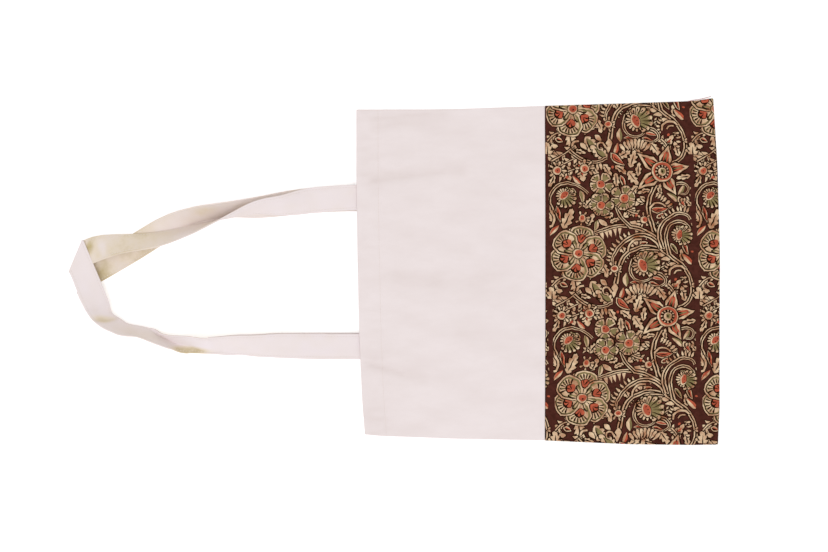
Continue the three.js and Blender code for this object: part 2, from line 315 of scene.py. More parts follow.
# The stitches draw the cloth down, it puckers beside them, and the turned-in layer shows as a ridge
STITCH_DIP, STITCH_NEAR = 0.26, 0.9
PUCKER_DIP, PUCKER, PUCKER_NEAR = 0.2, 0.22, 4.5
PUCKER_SIZE, PUCKER_LONG = 5.5, 0.4
HEM_RIDGE, RIDGE_END, RIDGE_RUN = 0.3, 26.5, 2.5
SIDE_TURN, SIDE_GAP = 3.0, 0.25
pucker = relief(stations * PUCKER_LONG, calico_y, PUCKER_SIZE, 8)
stitch_dip = STITCH_DIP * bell(from_mouth - HEM_STITCHES, STITCH_NEAR)
stitch_dip += (PUCKER_DIP + PUCKER * pucker) * bell(from_mouth - HEM_STITCHES, PUCKER_NEAR)
hem_ridge = HEM_RIDGE * smoothstep((RIDGE_END - from_mouth) / RIDGE_RUN)
seam_fall = SEAM_DIP * rounded(CALICO_END - stations, SEAM_ROUND)
front_top = front_height(stations, across_grid) - stitch_dip + hem_ridge - seam_fall
thickness = CLOTH * (2 - smoothstep((from_mouth - HEM) / CLOTH))
side_fall = rounded(from_side, SIDE_ROUND)
mouth_fall = rounded(from_mouth, CLOTH)
outer_z = front_top - side_fall - mouth_fall
inner_z = front_top - thickness + mouth_fall
side_turn = smoothstep(1 - from_side / SIDE_TURN)
inner_z += side_turn * np.minimum(thickness + SIDE_GAP - inner_z, 0)
front_calico = cloth_wall("front_calico", at_height(outer_z), at_height(inner_z), calico_plan)

# Painted shade: creases and the puckers beside the hem are painted a little darker than the rest, as far
# as the crease shade of each point says
DEEPEST_CREASE_SHADE = 1.3
PUCKER_SHADE, PUCKER_SHADE_AT, PUCKER_SHADE_OVER = 0.9, 15, 12
creases = np.clip(crease_depth(stations, calico_y), 0, DEEPEST_CREASE_SHADE)
creases += PUCKER_SHADE * np.clip(pucker, 0, 1) * bell(from_mouth - PUCKER_SHADE_AT, PUCKER_SHADE_OVER)
crease_shade_layer = front_calico.data.attributes.new("crease", "FLOAT", "POINT")
crease_shade_layer.data.foreach_set("value", np.tile(creases.ravel(), 2).astype(np.float32))
calico = cloth_material("calico", (238, 228, 228), (226, 214, 212), 24, 0.3, 1.0, grain=1.6, creased=0.28)
front_calico.data.materials.append(calico)
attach(front_calico, "root")
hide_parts("canvas_front")

# The back of the upper body: the same cut of calico with the same hem, lying on the surface.
# It isn't seen in the photograph, so it is taken to be as plain as the front.
UNDER_DIP = 0.3
UNDER_LIFT, UNDER_SIZE = 0.12, 34


def under_lift(x, y, seed):
    """How far the loose cloth of the under side lifts off the surface."""
    return UNDER_LIFT * (1 + relief(x, y, UNDER_SIZE, seed))


under_loose = np.sqrt(fullness(across_grid)) * smoothstep((stations - LOOSE_FROM) / LOOSE_OVER)
under = under_lift(stations, calico_y, 21) * under_loose
under_dip = UNDER_DIP * bell(from_mouth - HEM_STITCHES, STITCH_NEAR)
back_calico = cloth_wall(
    "back_calico",
    at_height(under + thickness - mouth_fall),
    at_height(under + under_dip + side_fall + mouth_fall),
    calico_plan,
)
back_calico.data.materials.append(calico)
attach(back_calico, "root")
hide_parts("canvas_back")

# The hem's stitching: one row of machine stitches in cotton thread on each side of the mouth.
# Each stitch is drawn down into the cloth, which puckers a little beside them.
STITCH_PITCH = 3.2
STITCH_LENGTH = 2.5
STITCH_THREAD = 0.55
SHORTEST, LONGEST = 0.86, 1.1


def sewing_tree():
    """Nodes that set a stitch at every pitch along a line, and the names of their inputs."""
    tree = bpy.data.node_groups.new("sewing", "GeometryNodeTree")
    asked = {}
    for name, kind in (
        ("Geometry", "NodeSocketGeometry"),
        ("Pitch", "NodeSocketFloat"),
        ("Stitch", "NodeSocketFloat"),
        ("Thread", "NodeSocketFloat"),
        ("Seed", "NodeSocketInt"),
        ("Material", "NodeSocketMaterial"),
    ):
        asked[name] = tree.interface.new_socket(name=name, in_out="INPUT", socket_type=kind).identifier
    tree.interface.new_socket(name="Geometry", in_out="OUTPUT", socket_type="NodeSocketGeometry")
    entry = add_node(tree, "NodeGroupInput")
    leave = add_node(tree, "NodeGroupOutput")
    line = add_node(tree, "GeometryNodeMeshToCurve")
    spaced = add_node(tree, "GeometryNodeResampleCurve", mode="LENGTH")
    ahead = add_node(tree, "GeometryNodeInputTangent")
    facing = add_node(tree, "FunctionNodeAlignRotationToVector", axis="X")
    bead = add_node(tree, "GeometryNodeMeshUVSphere", {"Segments": 6, "Rings": 4, "Radius": 0.5})
    vary = add_node(tree, "FunctionNodeRandomValue", {2: SHORTEST, 3: LONGEST})
    length = add_node(tree, "ShaderNodeMath", operation="MULTIPLY")
    size = add_node(tree, "ShaderNodeCombineXYZ")
    placed = add_node(tree, "GeometryNodeInstanceOnPoints")
    real = add_node(tree, "GeometryNodeRealizeInstances")
    dyed = add_node(tree, "GeometryNodeSetMaterial")
    wire(
        tree,
        (entry, "Geometry", line, "Mesh"),
        (line, "Curve", spaced, "Curve"),
        (entry, "Pitch", spaced, "Length"),
        (ahead, "Tangent", facing, "Vector"),
        (entry, "Seed", vary, "Seed"),
        (entry, "Stitch", length, 0),
        (vary, 1, length, 1),
        (length, "Value", size, "X"),
        (entry, "Thread", size, "Y"),
        (entry, "Thread", size, "Z"),
        (spaced, "Curve", placed, "Points"),
        (bead, "Mesh", placed, "Instance"),
        (facing, "Rotation", placed, "Rotation"),
        (size, "Vector", placed, "Scale"),
        (placed, "Instances", real, "Geometry"),
        (real, "Geometry", dyed, "Geometry"),
        (entry, "Material", dyed, "Material"),
        (dyed, "Geometry", leave, "Geometry"),
    )
    return tree, asked


def cotton_thread():
    """Spun cotton, with a tone that changes along its twist."""
    material, tree, shader = new_material("cotton_thread", {"Roughness": 0.8, "Specular IOR Level": 0.2})
    place = add_node(tree, "ShaderNodeTexCoord")
    twist = add_node(tree, "ShaderNodeTexNoise", {"Scale": 900.0})
    tone = add_node(tree, "ShaderNodeValToRGB")
    set_stops(tone, (0, (222, 210, 204)), (1, (238, 229, 225)))
    wire(
        tree,
        (place, "Object", twist, "Vector"),
        (twist, "Fac", tone, "Fac"),
        (tone, "Color", shader, "Base Color"),
    )
    return material


sewing, asked = sewing_tree()
thread = cotton_thread()


def sew(name, lines, seed):
    """A row of stitches along each line of points, as one piece."""
    points, edges = [], []
    for line in lines:
        edges += [(len(points) + i, len(points) + i + 1) for i in range(len(line) - 1)]
        points += [tuple(point) for point in (np.asarray(line) * MM).tolist()]
    mesh = bpy.data.meshes.new(name)
    mesh.from_pydata(points, edges, [])
    piece = bpy.data.objects.new(name, mesh)
    bpy.context.scene.collection.objects.link(piece)
    modifier = piece.modifiers.new("sewing", "NODES")
    modifier.node_group = sewing
    modifier[asked["Pitch"]] = STITCH_PITCH * MM
    modifier[asked["Stitch"]] = STITCH_LENGTH * MM
    modifier[asked["Thread"]] = STITCH_THREAD * MM
    modifier[asked["Seed"]] = seed
    modifier[asked["Material"]] = thread
    ready = piece.evaluated_get(bpy.context.evaluated_depsgraph_get())
    sewn = bpy.data.meshes.new_from_object(ready)
    piece.modifiers.remove(modifier)
    piece.data = sewn
    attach(piece, "root")
    return piece


FRONT_STANDS, BACK_STANDS = 0.06, 0.02
CLEAR_OF_SIDES = slice(3, -3)
hem_row = int(np.argmin(np.abs(HEM_STATIONS - HEM_STITCHES)))
front_line = at_height(outer_z + FRONT_STANDS)[hem_row, CLEAR_OF_SIDES]
back_line = at_height(under + under_dip - BACK_STANDS)[hem_row, CLEAR_OF_SIDES]
front_hem_stitches = sew("front_hem_stitches", [front_line], 31)
back_hem_stitches = sew("back_hem_stitches", [back_line], 32)

# The lower body: one piece of cotton, block printed by hand on a maroon ground. It is sewn to
# the front calico, folds round the base of the bag and is sewn to the back calico.
# The print is charted as carved blocks would be cut: shapes of one ink laid over another.
GROUND, LINE, CREAM, OLIVE, RED = range(5)

# The chart's step in millimetres, the repeat in steps and how far each row of repeats drifts
STEP = 1.06
REPEAT_X, REPEAT_Y, DRIFT = 143.0, 144.6, 4.0
CELL = np.array([REPEAT_X, REPEAT_Y])

# The carver's unsteadiness, as a reach, the size of its waves and a seed, and the slip of two inks
UNSTEADY = ((0.5, 5, 51), (0.34, 1.9, 53))
SLIP = (0.5, -0.4)
CUT = 2.0
EDGE = 1.2
blocks = []


def paint(ink, outline):
    """One carved shape of the repeat. The last two inks were set down a little out of place."""
    corners = np.array(outline, float)
    points = []
    for here, there in zip(corners, np.roll(corners, -1, axis=0)):
        cuts = max(1, round(math.dist(here, there) / CUT))
        points += [here + (there - here) * k / cuts for k in range(cuts)]
    points = np.array(points)
    x, y = points.T
    for far, wave, seed in UNSTEADY:
        sway = [relief(x, y, wave, seed), relief(x, y, wave, seed + 1)]
        points = points + far * np.stack(sway, axis=1)
    blocks.append((ink, points + SLIP if ink in (OLIVE, RED) else points))


def curve_at(rows, t):
    """A point of the smooth curve through the rows, with t from 0 to 1 over them."""
    rows = np.asarray(rows, float)
    last = len(rows) - 1
    index = min(int(t * last), last - 1)
    part = t * last - index
    p1, p2 = rows[index], rows[index + 1]
    p0 = rows[index - 1] if index > 0 else 2 * p1 - p2
    p3 = rows[index + 2] if index + 2 <= last else 2 * p2 - p1
    d0, d1, d2 = (math.sqrt(np.linalg.norm(b - a)) for a, b in ((p0, p1), (p1, p2), (p2, p3)))
    tiny = 1e-2
    d1 = d1 if d1 > tiny else 1.0
    d0 = d0 if d0 > tiny else d1
    d2 = d2 if d2 > tiny else d1
    m1 = d1 * ((p1 - p0) / d0 - (p2 - p0) / (d0 + d1) + (p2 - p1) / d1)
    m2 = d1 * ((p2 - p1) / d1 - (p3 - p1) / (d1 + d2) + (p3 - p2) / d2)
    c2 = 3 * (p2 - p1) - 2 * m1 - m2
    c3 = 2 * (p1 - p2) + m1 + m2
    return p1 + part * (m1 + part * (c2 + part * c3))


def run_along(rows, step):
    """Points about a step apart along the smooth curve through the rows."""
    length = sum(math.dist(a, b) for a, b in zip(rows, rows[1:]))
    count = max(2, round(length / step))
    return np.array([curve_at(rows, i / count) for i in range(count + 1)])


def units(vectors):
    """Rows of vectors, each brought to a length of one."""
    return vectors / np.linalg.norm(vectors, axis=-1, keepdims=True)


def beside(line):
    """The direction square to a line, at each of its points."""
    ahead = units(np.gradient(line, axis=0))
    return np.stack([-ahead[:, 1], ahead[:, 0]], axis=1)


def polar(cx, cy, angle, reach):
    return cx + reach * math.cos(angle), cy + reach * math.sin(angle)


def ring(cx, cy, radius, sides):
    return [polar(cx, cy, 2 * math.pi * i / sides, radius) for i in range(sides)]


def placed_shape(shape, x, y, angle, length, width):
    """A shape given in shares of its length and width, set down at a place and an angle."""
    ux, uy = math.cos(angle), math.sin(angle)
    return [
        (x + ux * a * length - uy * b * width, y + uy * a * length + ux * b * width)
        for a, b in shape
    ]


# Strokes of the gouge: a round-ended drop, a bent flame and a tooth
DROP = ((0, 0), (0.45, 0.36), (0.8, 0.5), (1, 0.2), (1, -0.2), (0.8, -0.5), (0.45, -0.36))
FLAME = ((0, -0.2), (0.3, -0.5), (0.66, -0.46), (1.12, 0.14), (0.7, 0.26), (0.4, 0.46), (0.04, 0.24))
TOOTH = ((-0.1, -0.5), (0.45, -0.32), (1, 0.05), (0.5, 0.22), (-0.1, 0.5))


def drop(ink, x, y, angle, length, width, shape=DROP):
    paint(ink, placed_shape(shape, x, y, angle, length, width))


def ray(ink, cx, cy, angle, start, length, width, lean=0.0):
    """A drop that starts at a distance from a centre and points away from it, or leans aside."""
    drop(ink, *polar(cx, cy, angle, start), angle + lean, length, width)


def rings(cx, cy, *rows):
    """Round spots one on another, each by its ink, its radius and the number of its sides."""
    for ink, radius, sides in rows:
        paint(ink, ring(cx, cy, radius, sides))


def edged_drop(x, y, angle, length, width, ink=CREAM, shape=DROP):
    """A stroke with a dark edge round it."""
    drop(LINE, *polar(x, y, angle, -0.7), angle, length + 1.7, width + 1.9, shape)
    drop(ink, x, y, angle, length, width * 0.9, shape)


def stem(rows, width, core, thin):
    """A stalk that thins towards its tip, with dark edges and, if it has a core, a dark middle."""
    step, gap = 2.6, 0.1
    line = run_along(rows, step)
    side = beside(line) * np.linspace(1, thin, len(line))[:, None]
    half = width / 2 - gap

    def band(ink, from_side, to_side):
        a, b = line + side * from_side, line + side * to_side
        for i in range(len(line) - 1):
            paint(ink, (a[i], a[i + 1], b[i + 1], b[i]))

    band(LINE, -half - EDGE, half + EDGE)
    if core:
        band(CREAM, -half, -core / 2 - gap)
        band(CREAM, core / 2 + gap, half)
    else:
        band(CREAM, -half, half)


def leaf_outline(x0, y0, x1, y1, width, bend, points=5):
    """The outline of a leaf from its base to its tip, with some points on each side."""
    base, tip = np.array([x0, y0], float), np.array([x1, y1], float)
    ahead = tip - base
    side = np.array([-ahead[1], ahead[0]]) / np.linalg.norm(ahead)
    shares = [(i + 1) / (points + 1) for i in range(points)]

    def at(share, sign):
        swell = sign * width / 2 * math.sin(math.pi * share**0.8)
        return base + ahead * share + side * (bend * math.sin(math.pi * share) + swell)

    return [base, *(at(s, 1) for s in shares), tip, *(at(s, -1) for s in reversed(shares))]


def shrink(outline, by):
    """The same outline, drawn in towards its middle, or out from it by less than nothing."""
    least, tiny = 0.12, 1e-6
    points = np.array(outline, float)
    middle = points.mean(axis=0)
    reach = np.linalg.norm(points - middle, axis=1)
    return middle + (points - middle) * np.maximum(1 - by / np.maximum(reach, tiny), least)[:, None]


def leaf(x0, y0, x1, y1, width, bend, heart):
    """A cream leaf with a dark edge, and with a veined heart of another ink where one is given."""
    outline = leaf_outline(x0, y0, x1, y1, width, bend)
    paint(LINE, shrink(outline, -EDGE))
    paint(CREAM, outline)
    if heart:
        line_in, heart_in, vein_width = 1.1, 1.6, 1.1
        paint(LINE, shrink(outline, line_in))
        paint(heart, shrink(outline, heart_in))
        across, down = x1 - x0, y1 - y0
        vein = (x0 + 0.2 * across, y0 + 0.2 * down, x0 + 0.75 * across, y0 + 0.75 * down)
        paint(LINE, leaf_outline(*vein, vein_width, bend, 2))


def shaded_leaf(x0, y0, x1, y1, width, bend, ink):
    """A cream leaf with one side of it in another ink."""
    points, thin_edge = 4, 1.0
    outline = leaf_outline(x0, y0, x1, y1, width, bend, points)
    paint(LINE, shrink(outline, -thin_edge))
    paint(CREAM, outline)
    middle = [(outline[i] + outline[-i]) / 2 for i in range(points, 0, -1)]
    paint(ink, [*outline[: points + 2], *middle])


def cut_leaf(x0, y0, x1, y1, width, bend, lobes, heart):
    """A broad leaf: round lobes about a coloured heart, or pointed ones about a dark vein."""
    base, tip = np.array([x0, y0], float), np.array([x1, y1], float)
    ahead = tip - base
    way = ahead / np.linalg.norm(ahead)
    side = np.array([-way[1], way[0]])
    wide, point = (width, 0.5) if heart else (width * 1.22, 1.7)
    steps = lobes * 4

    def outline(grow, deep):
        edge = []
        for sign in (1, -1):
            run = []
            for i in range(1, steps):
                s = i / steps
                lobe = abs(math.sin(math.pi * lobes * s)) ** point
                reach = wide / 2 * math.sin(math.pi * s**0.75) ** 0.7 * (1 - deep * (1 - lobe)) + grow
                bent = bend * math.sin(math.pi * s) + sign * reach
                run.append(base + ahead * (s + 0.05 * point * (lobe - 0.5)) + side * bent)
            edge += run[::sign]
            edge.append(tip + way * grow if sign > 0 else base - way * grow)
        return edge

    paint(LINE, outline(EDGE, 0.35))
    paint(CREAM, outline(0, 0.5))
    vein = (*(base + ahead * 0.08), *(base + ahead * 0.78))
    if heart:
        paint(LINE, leaf_outline(*vein, width * 0.52, bend * 0.9, 4))
        paint(heart, leaf_outline(*vein, width * 0.4, bend * 0.9, 4))
    else:
        paint(LINE, leaf_outline(*vein, 1.4, bend * 0.9, 3))


def fringe(rows, side, count, length, width, pointed):
    """Teeth or small petals set along one side of a stalk."""
    line = run_along(rows, 1.0)
    out = beside(line) * side
    for i in range(count):
        k = round((i + 0.5) / count * (len(line) - 1))
        angle = math.atan2(out[k][1], out[k][0])
        if pointed:
            paint(CREAM, placed_shape(TOOTH, *line[k], angle, length, width))
        else:
            edged_drop(*line[k], angle, length, width * 1.1, shape=FLAME)


def fern(rows, count, length, width):
    """A thin rib with slanted strokes on both sides."""
    line = run_along(rows, 1.0)
    out = beside(line)
    for i in range(count):
        k = round((i + 0.4) / count * (len(line) - 1))
        for side in (-1, 1):
            angle = math.atan2(out[k][1] * side, out[k][0] * side) + side * 0.7
            edged_drop(*line[k], angle, length * (1.1 - 0.45 * i / count), width * 1.15, shape=FLAME)
    stem(rows, 1.5, 0, 0.6)


def sprig(x, y, facing, spread, count, length, width):
    """A fan of short strokes from one point."""
    for i in range(count):
        share = i / (count - 1) - 0.5
        angle = math.radians(facing + spread * share)
        edged_drop(x, y, angle, length * (1 - share * share), width * 1.1, shape=FLAME)


def budlet(x, y, facing, size, rays):
    """A small red bud in a ring of short strokes that is open at its stalk."""
    f, spread = math.radians(facing), 130
    for i in range(rays):
        a = f + math.radians(-spread + 2 * spread * i / (rays - 1))
        edged_drop(*polar(x, y, a, size * 0.72), a, size * 0.95, size * 0.46)
    rings(x, y, (LINE, size * 0.95, 10), (CREAM, size * 0.8, 10))
    rings(*polar(x, y, f, -size * 0.12), (RED, size * 0.54, 8))
    ray(LINE, x, y, f, -size * 0.3, size * 0.4, 1.0)


def bud(cx, cy, size, facing):
    """A half-open bud: a comb of short strokes, a round red body and a shell of petals."""
    f = math.radians(facing)
    fan = [math.radians(-108 + 21 * i) for i in range(10)]
    reach = [size * (1.02 + 0.5 * max(0.0, math.cos(a - 0.2))) for a in fan]
    pale_from = (0.3, 0.3, 0.34, 0.42, 0.56, 0.7, 0.74, 0.74, 0.7, 0.66)
    for a, out in zip(fan, reach):
        ray(LINE, cx, cy, f + a, 0, out + 1.4, size * 0.56)
    for a, out, pale in zip(fan, reach, pale_from):
        ray(OLIVE, cx, cy, f + a, 0, out, size * 0.38)
        ray(CREAM, cx, cy, f + a, out * pale, out * (1 - pale), size * 0.34)
        ray(LINE, cx, cy, f + a, out * (pale + 0.06), out * (0.8 - pale), 1.2)
    for a, out in zip(fan[3:], reach[3:]):
        ray(LINE, cx, cy, f + a - 0.18, size * 0.4, out - size * 0.44, 1.3)
    for i in range(9):
        a = f + math.pi + math.radians(-92 + 23 * i)
        edged_drop(*polar(cx, cy, a, size * 0.24), a, size * 0.62, size * 0.2)
    turns = np.arange(12) * math.pi / 6
    shape = [(0.34 * math.cos(b) - 0.06 * math.sin(b), 0.56 * math.sin(b)) for b in turns]
    for ink, grow in ((LINE, 1.26), (CREAM, 1.12), (RED, 0.92)):
        paint(ink, placed_shape(shape, cx, cy, f, size * grow, size * grow))
    for k in (-0.3, 0.02, 0.32):
        drop(LINE, *polar(cx, cy, f + math.pi / 2, k * size), f, size * 0.2, 1.0)


def blossom(cx, cy, radius, petals, turn):
    """A small flower of separate petals, each with an olive heart and dark veins."""
    spread = 0.5
    width = radius * 1.7 * math.sin(math.pi / petals)
    around = [math.radians(turn + 360 * i / petals) for i in range(petals)]
    reaches = [radius * (1 + 0.16 * math.sin(5 * i + cx)) for i in range(petals)]
    for a, reach in zip(around, reaches):
        ray(LINE, cx, cy, a, radius * 0.1, reach * 1.16, width + 2.2)
    for a, reach in zip(around, reaches):
        ray(CREAM, cx, cy, a, radius * 0.15, reach, width)
        for k in (-1, 0, 1):
            ray(LINE, cx, cy, a, radius * 0.42, reach * 0.66, 1.5, k * spread)
        for k in (-0.5, 0.5):
            ray(OLIVE, cx, cy, a, radius * 0.36, reach * 0.6, width * 0.36, k * spread)
    rings(cx, cy, (LINE, radius * 0.5, 12), (CREAM, radius * 0.43, 12), (RED, radius * 0.34, 10))
    rings(cx - 0.8, cy - 0.8, (LINE, 0.8, 6))


def star(cx, cy, tips):
    """The large red flower: five pointed petals round a ringed eye."""
    root, root_half, widest_at, beads = 8, 0.62, 0.55, 12
    for degrees, reach in tips:
        a = math.radians(degrees)

        def petal(length, half):
            widest = widest_at * length
            shape = ((-root_half, root), (-half, widest), (0, length), (half, widest), (root_half, root))
            return [*(polar(cx, cy, a + turn, out) for turn, out in shape), (cx, cy)]

        for ink, grow, half in ((LINE, 2.2, 0.5), (CREAM, 0, 0.42), (LINE, -4.2, 0.3)):
            paint(ink, petal(reach + grow, half))
        for s in (-1, 1):
            drop(RED, *polar(cx, cy, a + s * 0.26, 9), a - s * 0.12, reach * 0.42, 2.4)
        ray(OLIVE, cx, cy, a, 10, reach * 0.3, 1.3)
    rings(cx, cy, (LINE, 11.2, 20), (CREAM, 10.3, 20), (RED, 9.1, 20), (LINE, 7.2, 20))
    for i in range(beads):
        ray(CREAM, cx, cy, 2 * math.pi * i / beads, 4.8, 2.0, 1.7)
    rings(cx, cy, (CREAM, 4.3, 12), (OLIVE, 2.8, 12), (LINE, 1.3, 12))


def rosette(cx, cy, first):
    """The largest flower: six notched petals with red pads, and dark strokes from its red eye."""
    petal_out, pad_back, points = 17.0, 2.2, 22
    around = [math.radians(first + 60 * i) for i in range(6)]
    between = [math.radians(first + 30 + 60 * i) for i in range(6)]
    for i, a in enumerate(around):
        px, py = polar(cx, cy, a, petal_out)

        def petal(size):
            shape = []
            for k in range(points):
                b = 2 * math.pi * k / points
                notch = 0.14 * math.exp(-((min(b, 2 * math.pi - b) / 0.3) ** 2))
                reach = 1 - notch + 0.22 * max(0.0, -math.cos(b)) ** 3 + 0.04 * math.cos(7 * b)
                shape.append((reach * math.cos(b), reach * 1.06 * math.sin(b)))
            return placed_shape(shape, px, py, a, size, size)

        for ink, size in ((LINE, 12.5), (CREAM, 11.7), (LINE, 10.4), (OLIVE, 9.9), (CREAM, 8.7)):
            paint(ink, petal(size))
        hx, hy = polar(px, py, a, -pad_back)
        for k in range(7):
            b = a + (k - 3) * 0.35
            ray(LINE, hx, hy, b, 4.2, 6.2, 1.9)
            if k % 2:
                ray(OLIVE, hx, hy, b, 5.6, 4.0, 1.0)
        rings(hx, hy, (LINE, 5.3, 12))
        for k in (-1, 1, 0):
            ray(RED, hx, hy, a, -4.4, 8.4 - abs(k), 4.2, k * 0.54)
        for k in (-1, 1):
            ray(LINE, hx, hy, a, -1.8, 5.2 + 0.5 * math.sin(i), 1.3, k * 0.4)
    for a in between:
        edged_drop(*polar(cx, cy, a, 3), a, 10.2, 3.0, OLIVE)
        ray(CREAM, cx, cy, a, 3, 8, 1.2)
    for a in around:
        ray(CREAM, cx, cy, a, 4, 6.0, 3.0)
        ray(LINE, cx, cy, a, 5, 5.0, 0.9)
    rings(cx, cy, (LINE, 5.6, 12), (CREAM, 4.8, 12), (RED, 3.6, 12))
    rings(cx + 0.8, cy + 0.6, (LINE, 0.9, 6))


# Places in one repeat, in chart steps, x towards the base of the bag and y across it.
# Broad leaves: base x and y, tip x and y, width, bend, lobes and the heart's ink, 0 for none
for row in (
    (13, 3, 12, -14, 9, 0, 4, 0), (71, 3, 55, -10, 12, 0, 5, OLIVE), (93, 12, 99, -6, 8, 0, 4, 0),
    (43, 3, 48, 26, 13, 0, 5, RED), (55, 10, 62, 20, 7, 0, 3, 0), (67, 9, 75, 20, 7, 0, 3, 0),
    (79, 17, 80, 33, 6, 0, 4, 0), (92, 15, 101, 29, 8, 1, 4, 0), (100, 30, 92, 40, 6.5, 0, 3, 0),
    (49, 53, 57, 41, 6, 0, 3, 0), (107, 41, 97, 50, 6, 0, 3, 0), (19, 67, 12, 48, 8, 0, 4, 0),
    (27, 73, 37, 53, 9, 0, 4, 0), (86, 61, 98, 52, 6.5, 0, 3, 0), (50, 70, 58, 58, 6.5, 0, 3, 0),
    (9, 128, 27, 136, 7, 1, 4, 0), (9, 139, 30, 143, 7, 1, 4, 0), (38, 120, 42, 144, 9, 0, 5, 0),
    (54, 126, 69, 147, 12, 0, 5, OLIVE), (117, 131, 127, 144, 8, 0, 4, 0),
    (130, 140, 141, 124, 8, 0, 4, RED), (146, 145, 142, 130, 6, 0, 3, 0), (66, 108, 70, 122, 7, 0, 3, 0),
    (140, 41, 147, 54, 7, 0, 3, RED), (134, 52, 127, 46, 5, 0, 2, 0), (86, 146, 98, 140, 7, 0, 3, 0),
    (110, 145, 100, 137, 6, 0, 3, 0), (76, 58, 68, 62, 5.5, 0, 3, 0), (30, 17, 35, 25, 5, 0, 2, 0),
    (82, 88, 88, 100, 5.5, 0, 3, 0), (153, 50, 147, 44, 5, 0, 2, 0),
):
    cut_leaf(*row)

# Ferns: the points of the rib, then the pairs of strokes, their length and their width
for row in (
    ([(16, 6), (26, 0), (39, -9)], 4, 8.0, 3.3), ([(17, 13), (29, 8), (43, 1)], 5, 7.4, 3.1),
    ([(24, 20), (34, 15), (46, 11)], 4, 6.6, 2.9), ([(15, 132), (22, 124), (33, 120)], 4, 6.6, 2.9),
    ([(100, 58), (92, 56), (84, 49)], 4, 4.6, 2.3), ([(131, 108), (122, 112), (117, 120)], 4, 4.2, 2.1),
    ([(129, 128), (134, 134), (136, 143)], 4, 4.8, 2.3),
    ([(52, 120), (58, 116), (66, 117)], 4, 4.4, 2.2),
):
    fern(*row)

# Sprigs: x and y, the way they face and their spread in degrees, strokes, their length and width
for row in (
    (107, 46, 180, 80, 3, 7.0, 2.4), (119, 71, -70, 110, 4, 5.5, 2.3), (72, 97, 180, 120, 4, 4.6, 2.2),
    (144, 121, 90, 150, 4, 4.4, 2.0), (72, 55, 200, 150, 4, 5.0, 2.3), (46, 48, 90, 200, 4, 4.6, 2.2),
    (35, 73, 60, 120, 3, 4.6, 2.2),
):
    sprig(*row)

# Plain leaves: base x and y, tip x and y, width, bend and the heart's ink, 0 for none
for row in (
    (75, -3, 88, 10, 7.4, 1, RED), (78, 127, 76, 142, 5.8, 0, 0), (84, 20, 88, 33, 5.2, 0, RED),
    (92, 127, 110, 126, 4.6, 0, RED), (110, 127, 122, 130, 3.8, 0, RED), (112, 54, 130, 53, 5.8, 1, RED),
    (92, 66, 105, 70, 4.4, 0, 0), (126, 100, 116, 98, 3.6, 0, 0), (132, 103.5, 122, 104, 4, 1, 0),
    (138, 108.5, 127, 110, 4, 1, 0), (132, 87, 138, 98, 5, 0, OLIVE), (143, 88, 149, 99, 5.4, 0, RED),
    (101, 89, 110, 87, 4.6, 0, RED), (21, 50, 25, 67, 5, 0, RED), (62, 64, 71, 71, 4.4, 0, 0),
    (45, -13, 51, -6, 5, 0, 0), (24, 127, 32, 131, 5, 0, RED), (118, 62, 127, 57, 4.6, 0, RED),
    (64, 124, 70, 130, 4.6, 0, 0),
):
    leaf(*row)

# Fringes: the stalk's points, the side, the teeth, their length and width, and if they are pointed
for row in (
    ([(84, 72), (75, 73), (66, 76), (57, 79)], -1, 6, 8.5, 4.2, True),
    ([(113, 81), (104, 77), (96, 74.5)], -1, 3, 5.0, 3.2, True),
    ([(94, 80), (86, 84), (79, 91), (75, 99), (73, 107)], 1, 9, 5.0, 2.3, False),
    ([(104, 84), (97, 85.5), (92, 91)], -1, 4, 4.6, 3.0, True),
    ([(125, 65), (131, 60), (138, 56.5), (144, 55.5), (150, 57.5)], -1, 8, 5.4, 2.2, False),
    ([(86, 134), (94, 129), (103, 127.5), (112, 129), (119, 134)], 1, 9, 9.0, 3.6, False),
    ([(46, 6), (55, 8.8), (66, 7)], 1, 6, 6.8, 3.2, False),
    ([(150, 31), (152, 37), (147, 42), (141, 42)], -1, 6, 4.0, 2.2, False),
    ([(129, 122), (128, 115), (131, 109)], -1, 5, 4.2, 2.1, False),
    ([(119, 36), (127, 41), (135, 49)], 1, 6, 5.4, 2.8, False),
    ([(146, 119), (148.5, 128), (147, 138)], 1, 4, 4.6, 2.3, False),
    ([(84, 106), (90, 97)], 1, 3, 3.8, 2.0, False),
):
    fringe(*row)

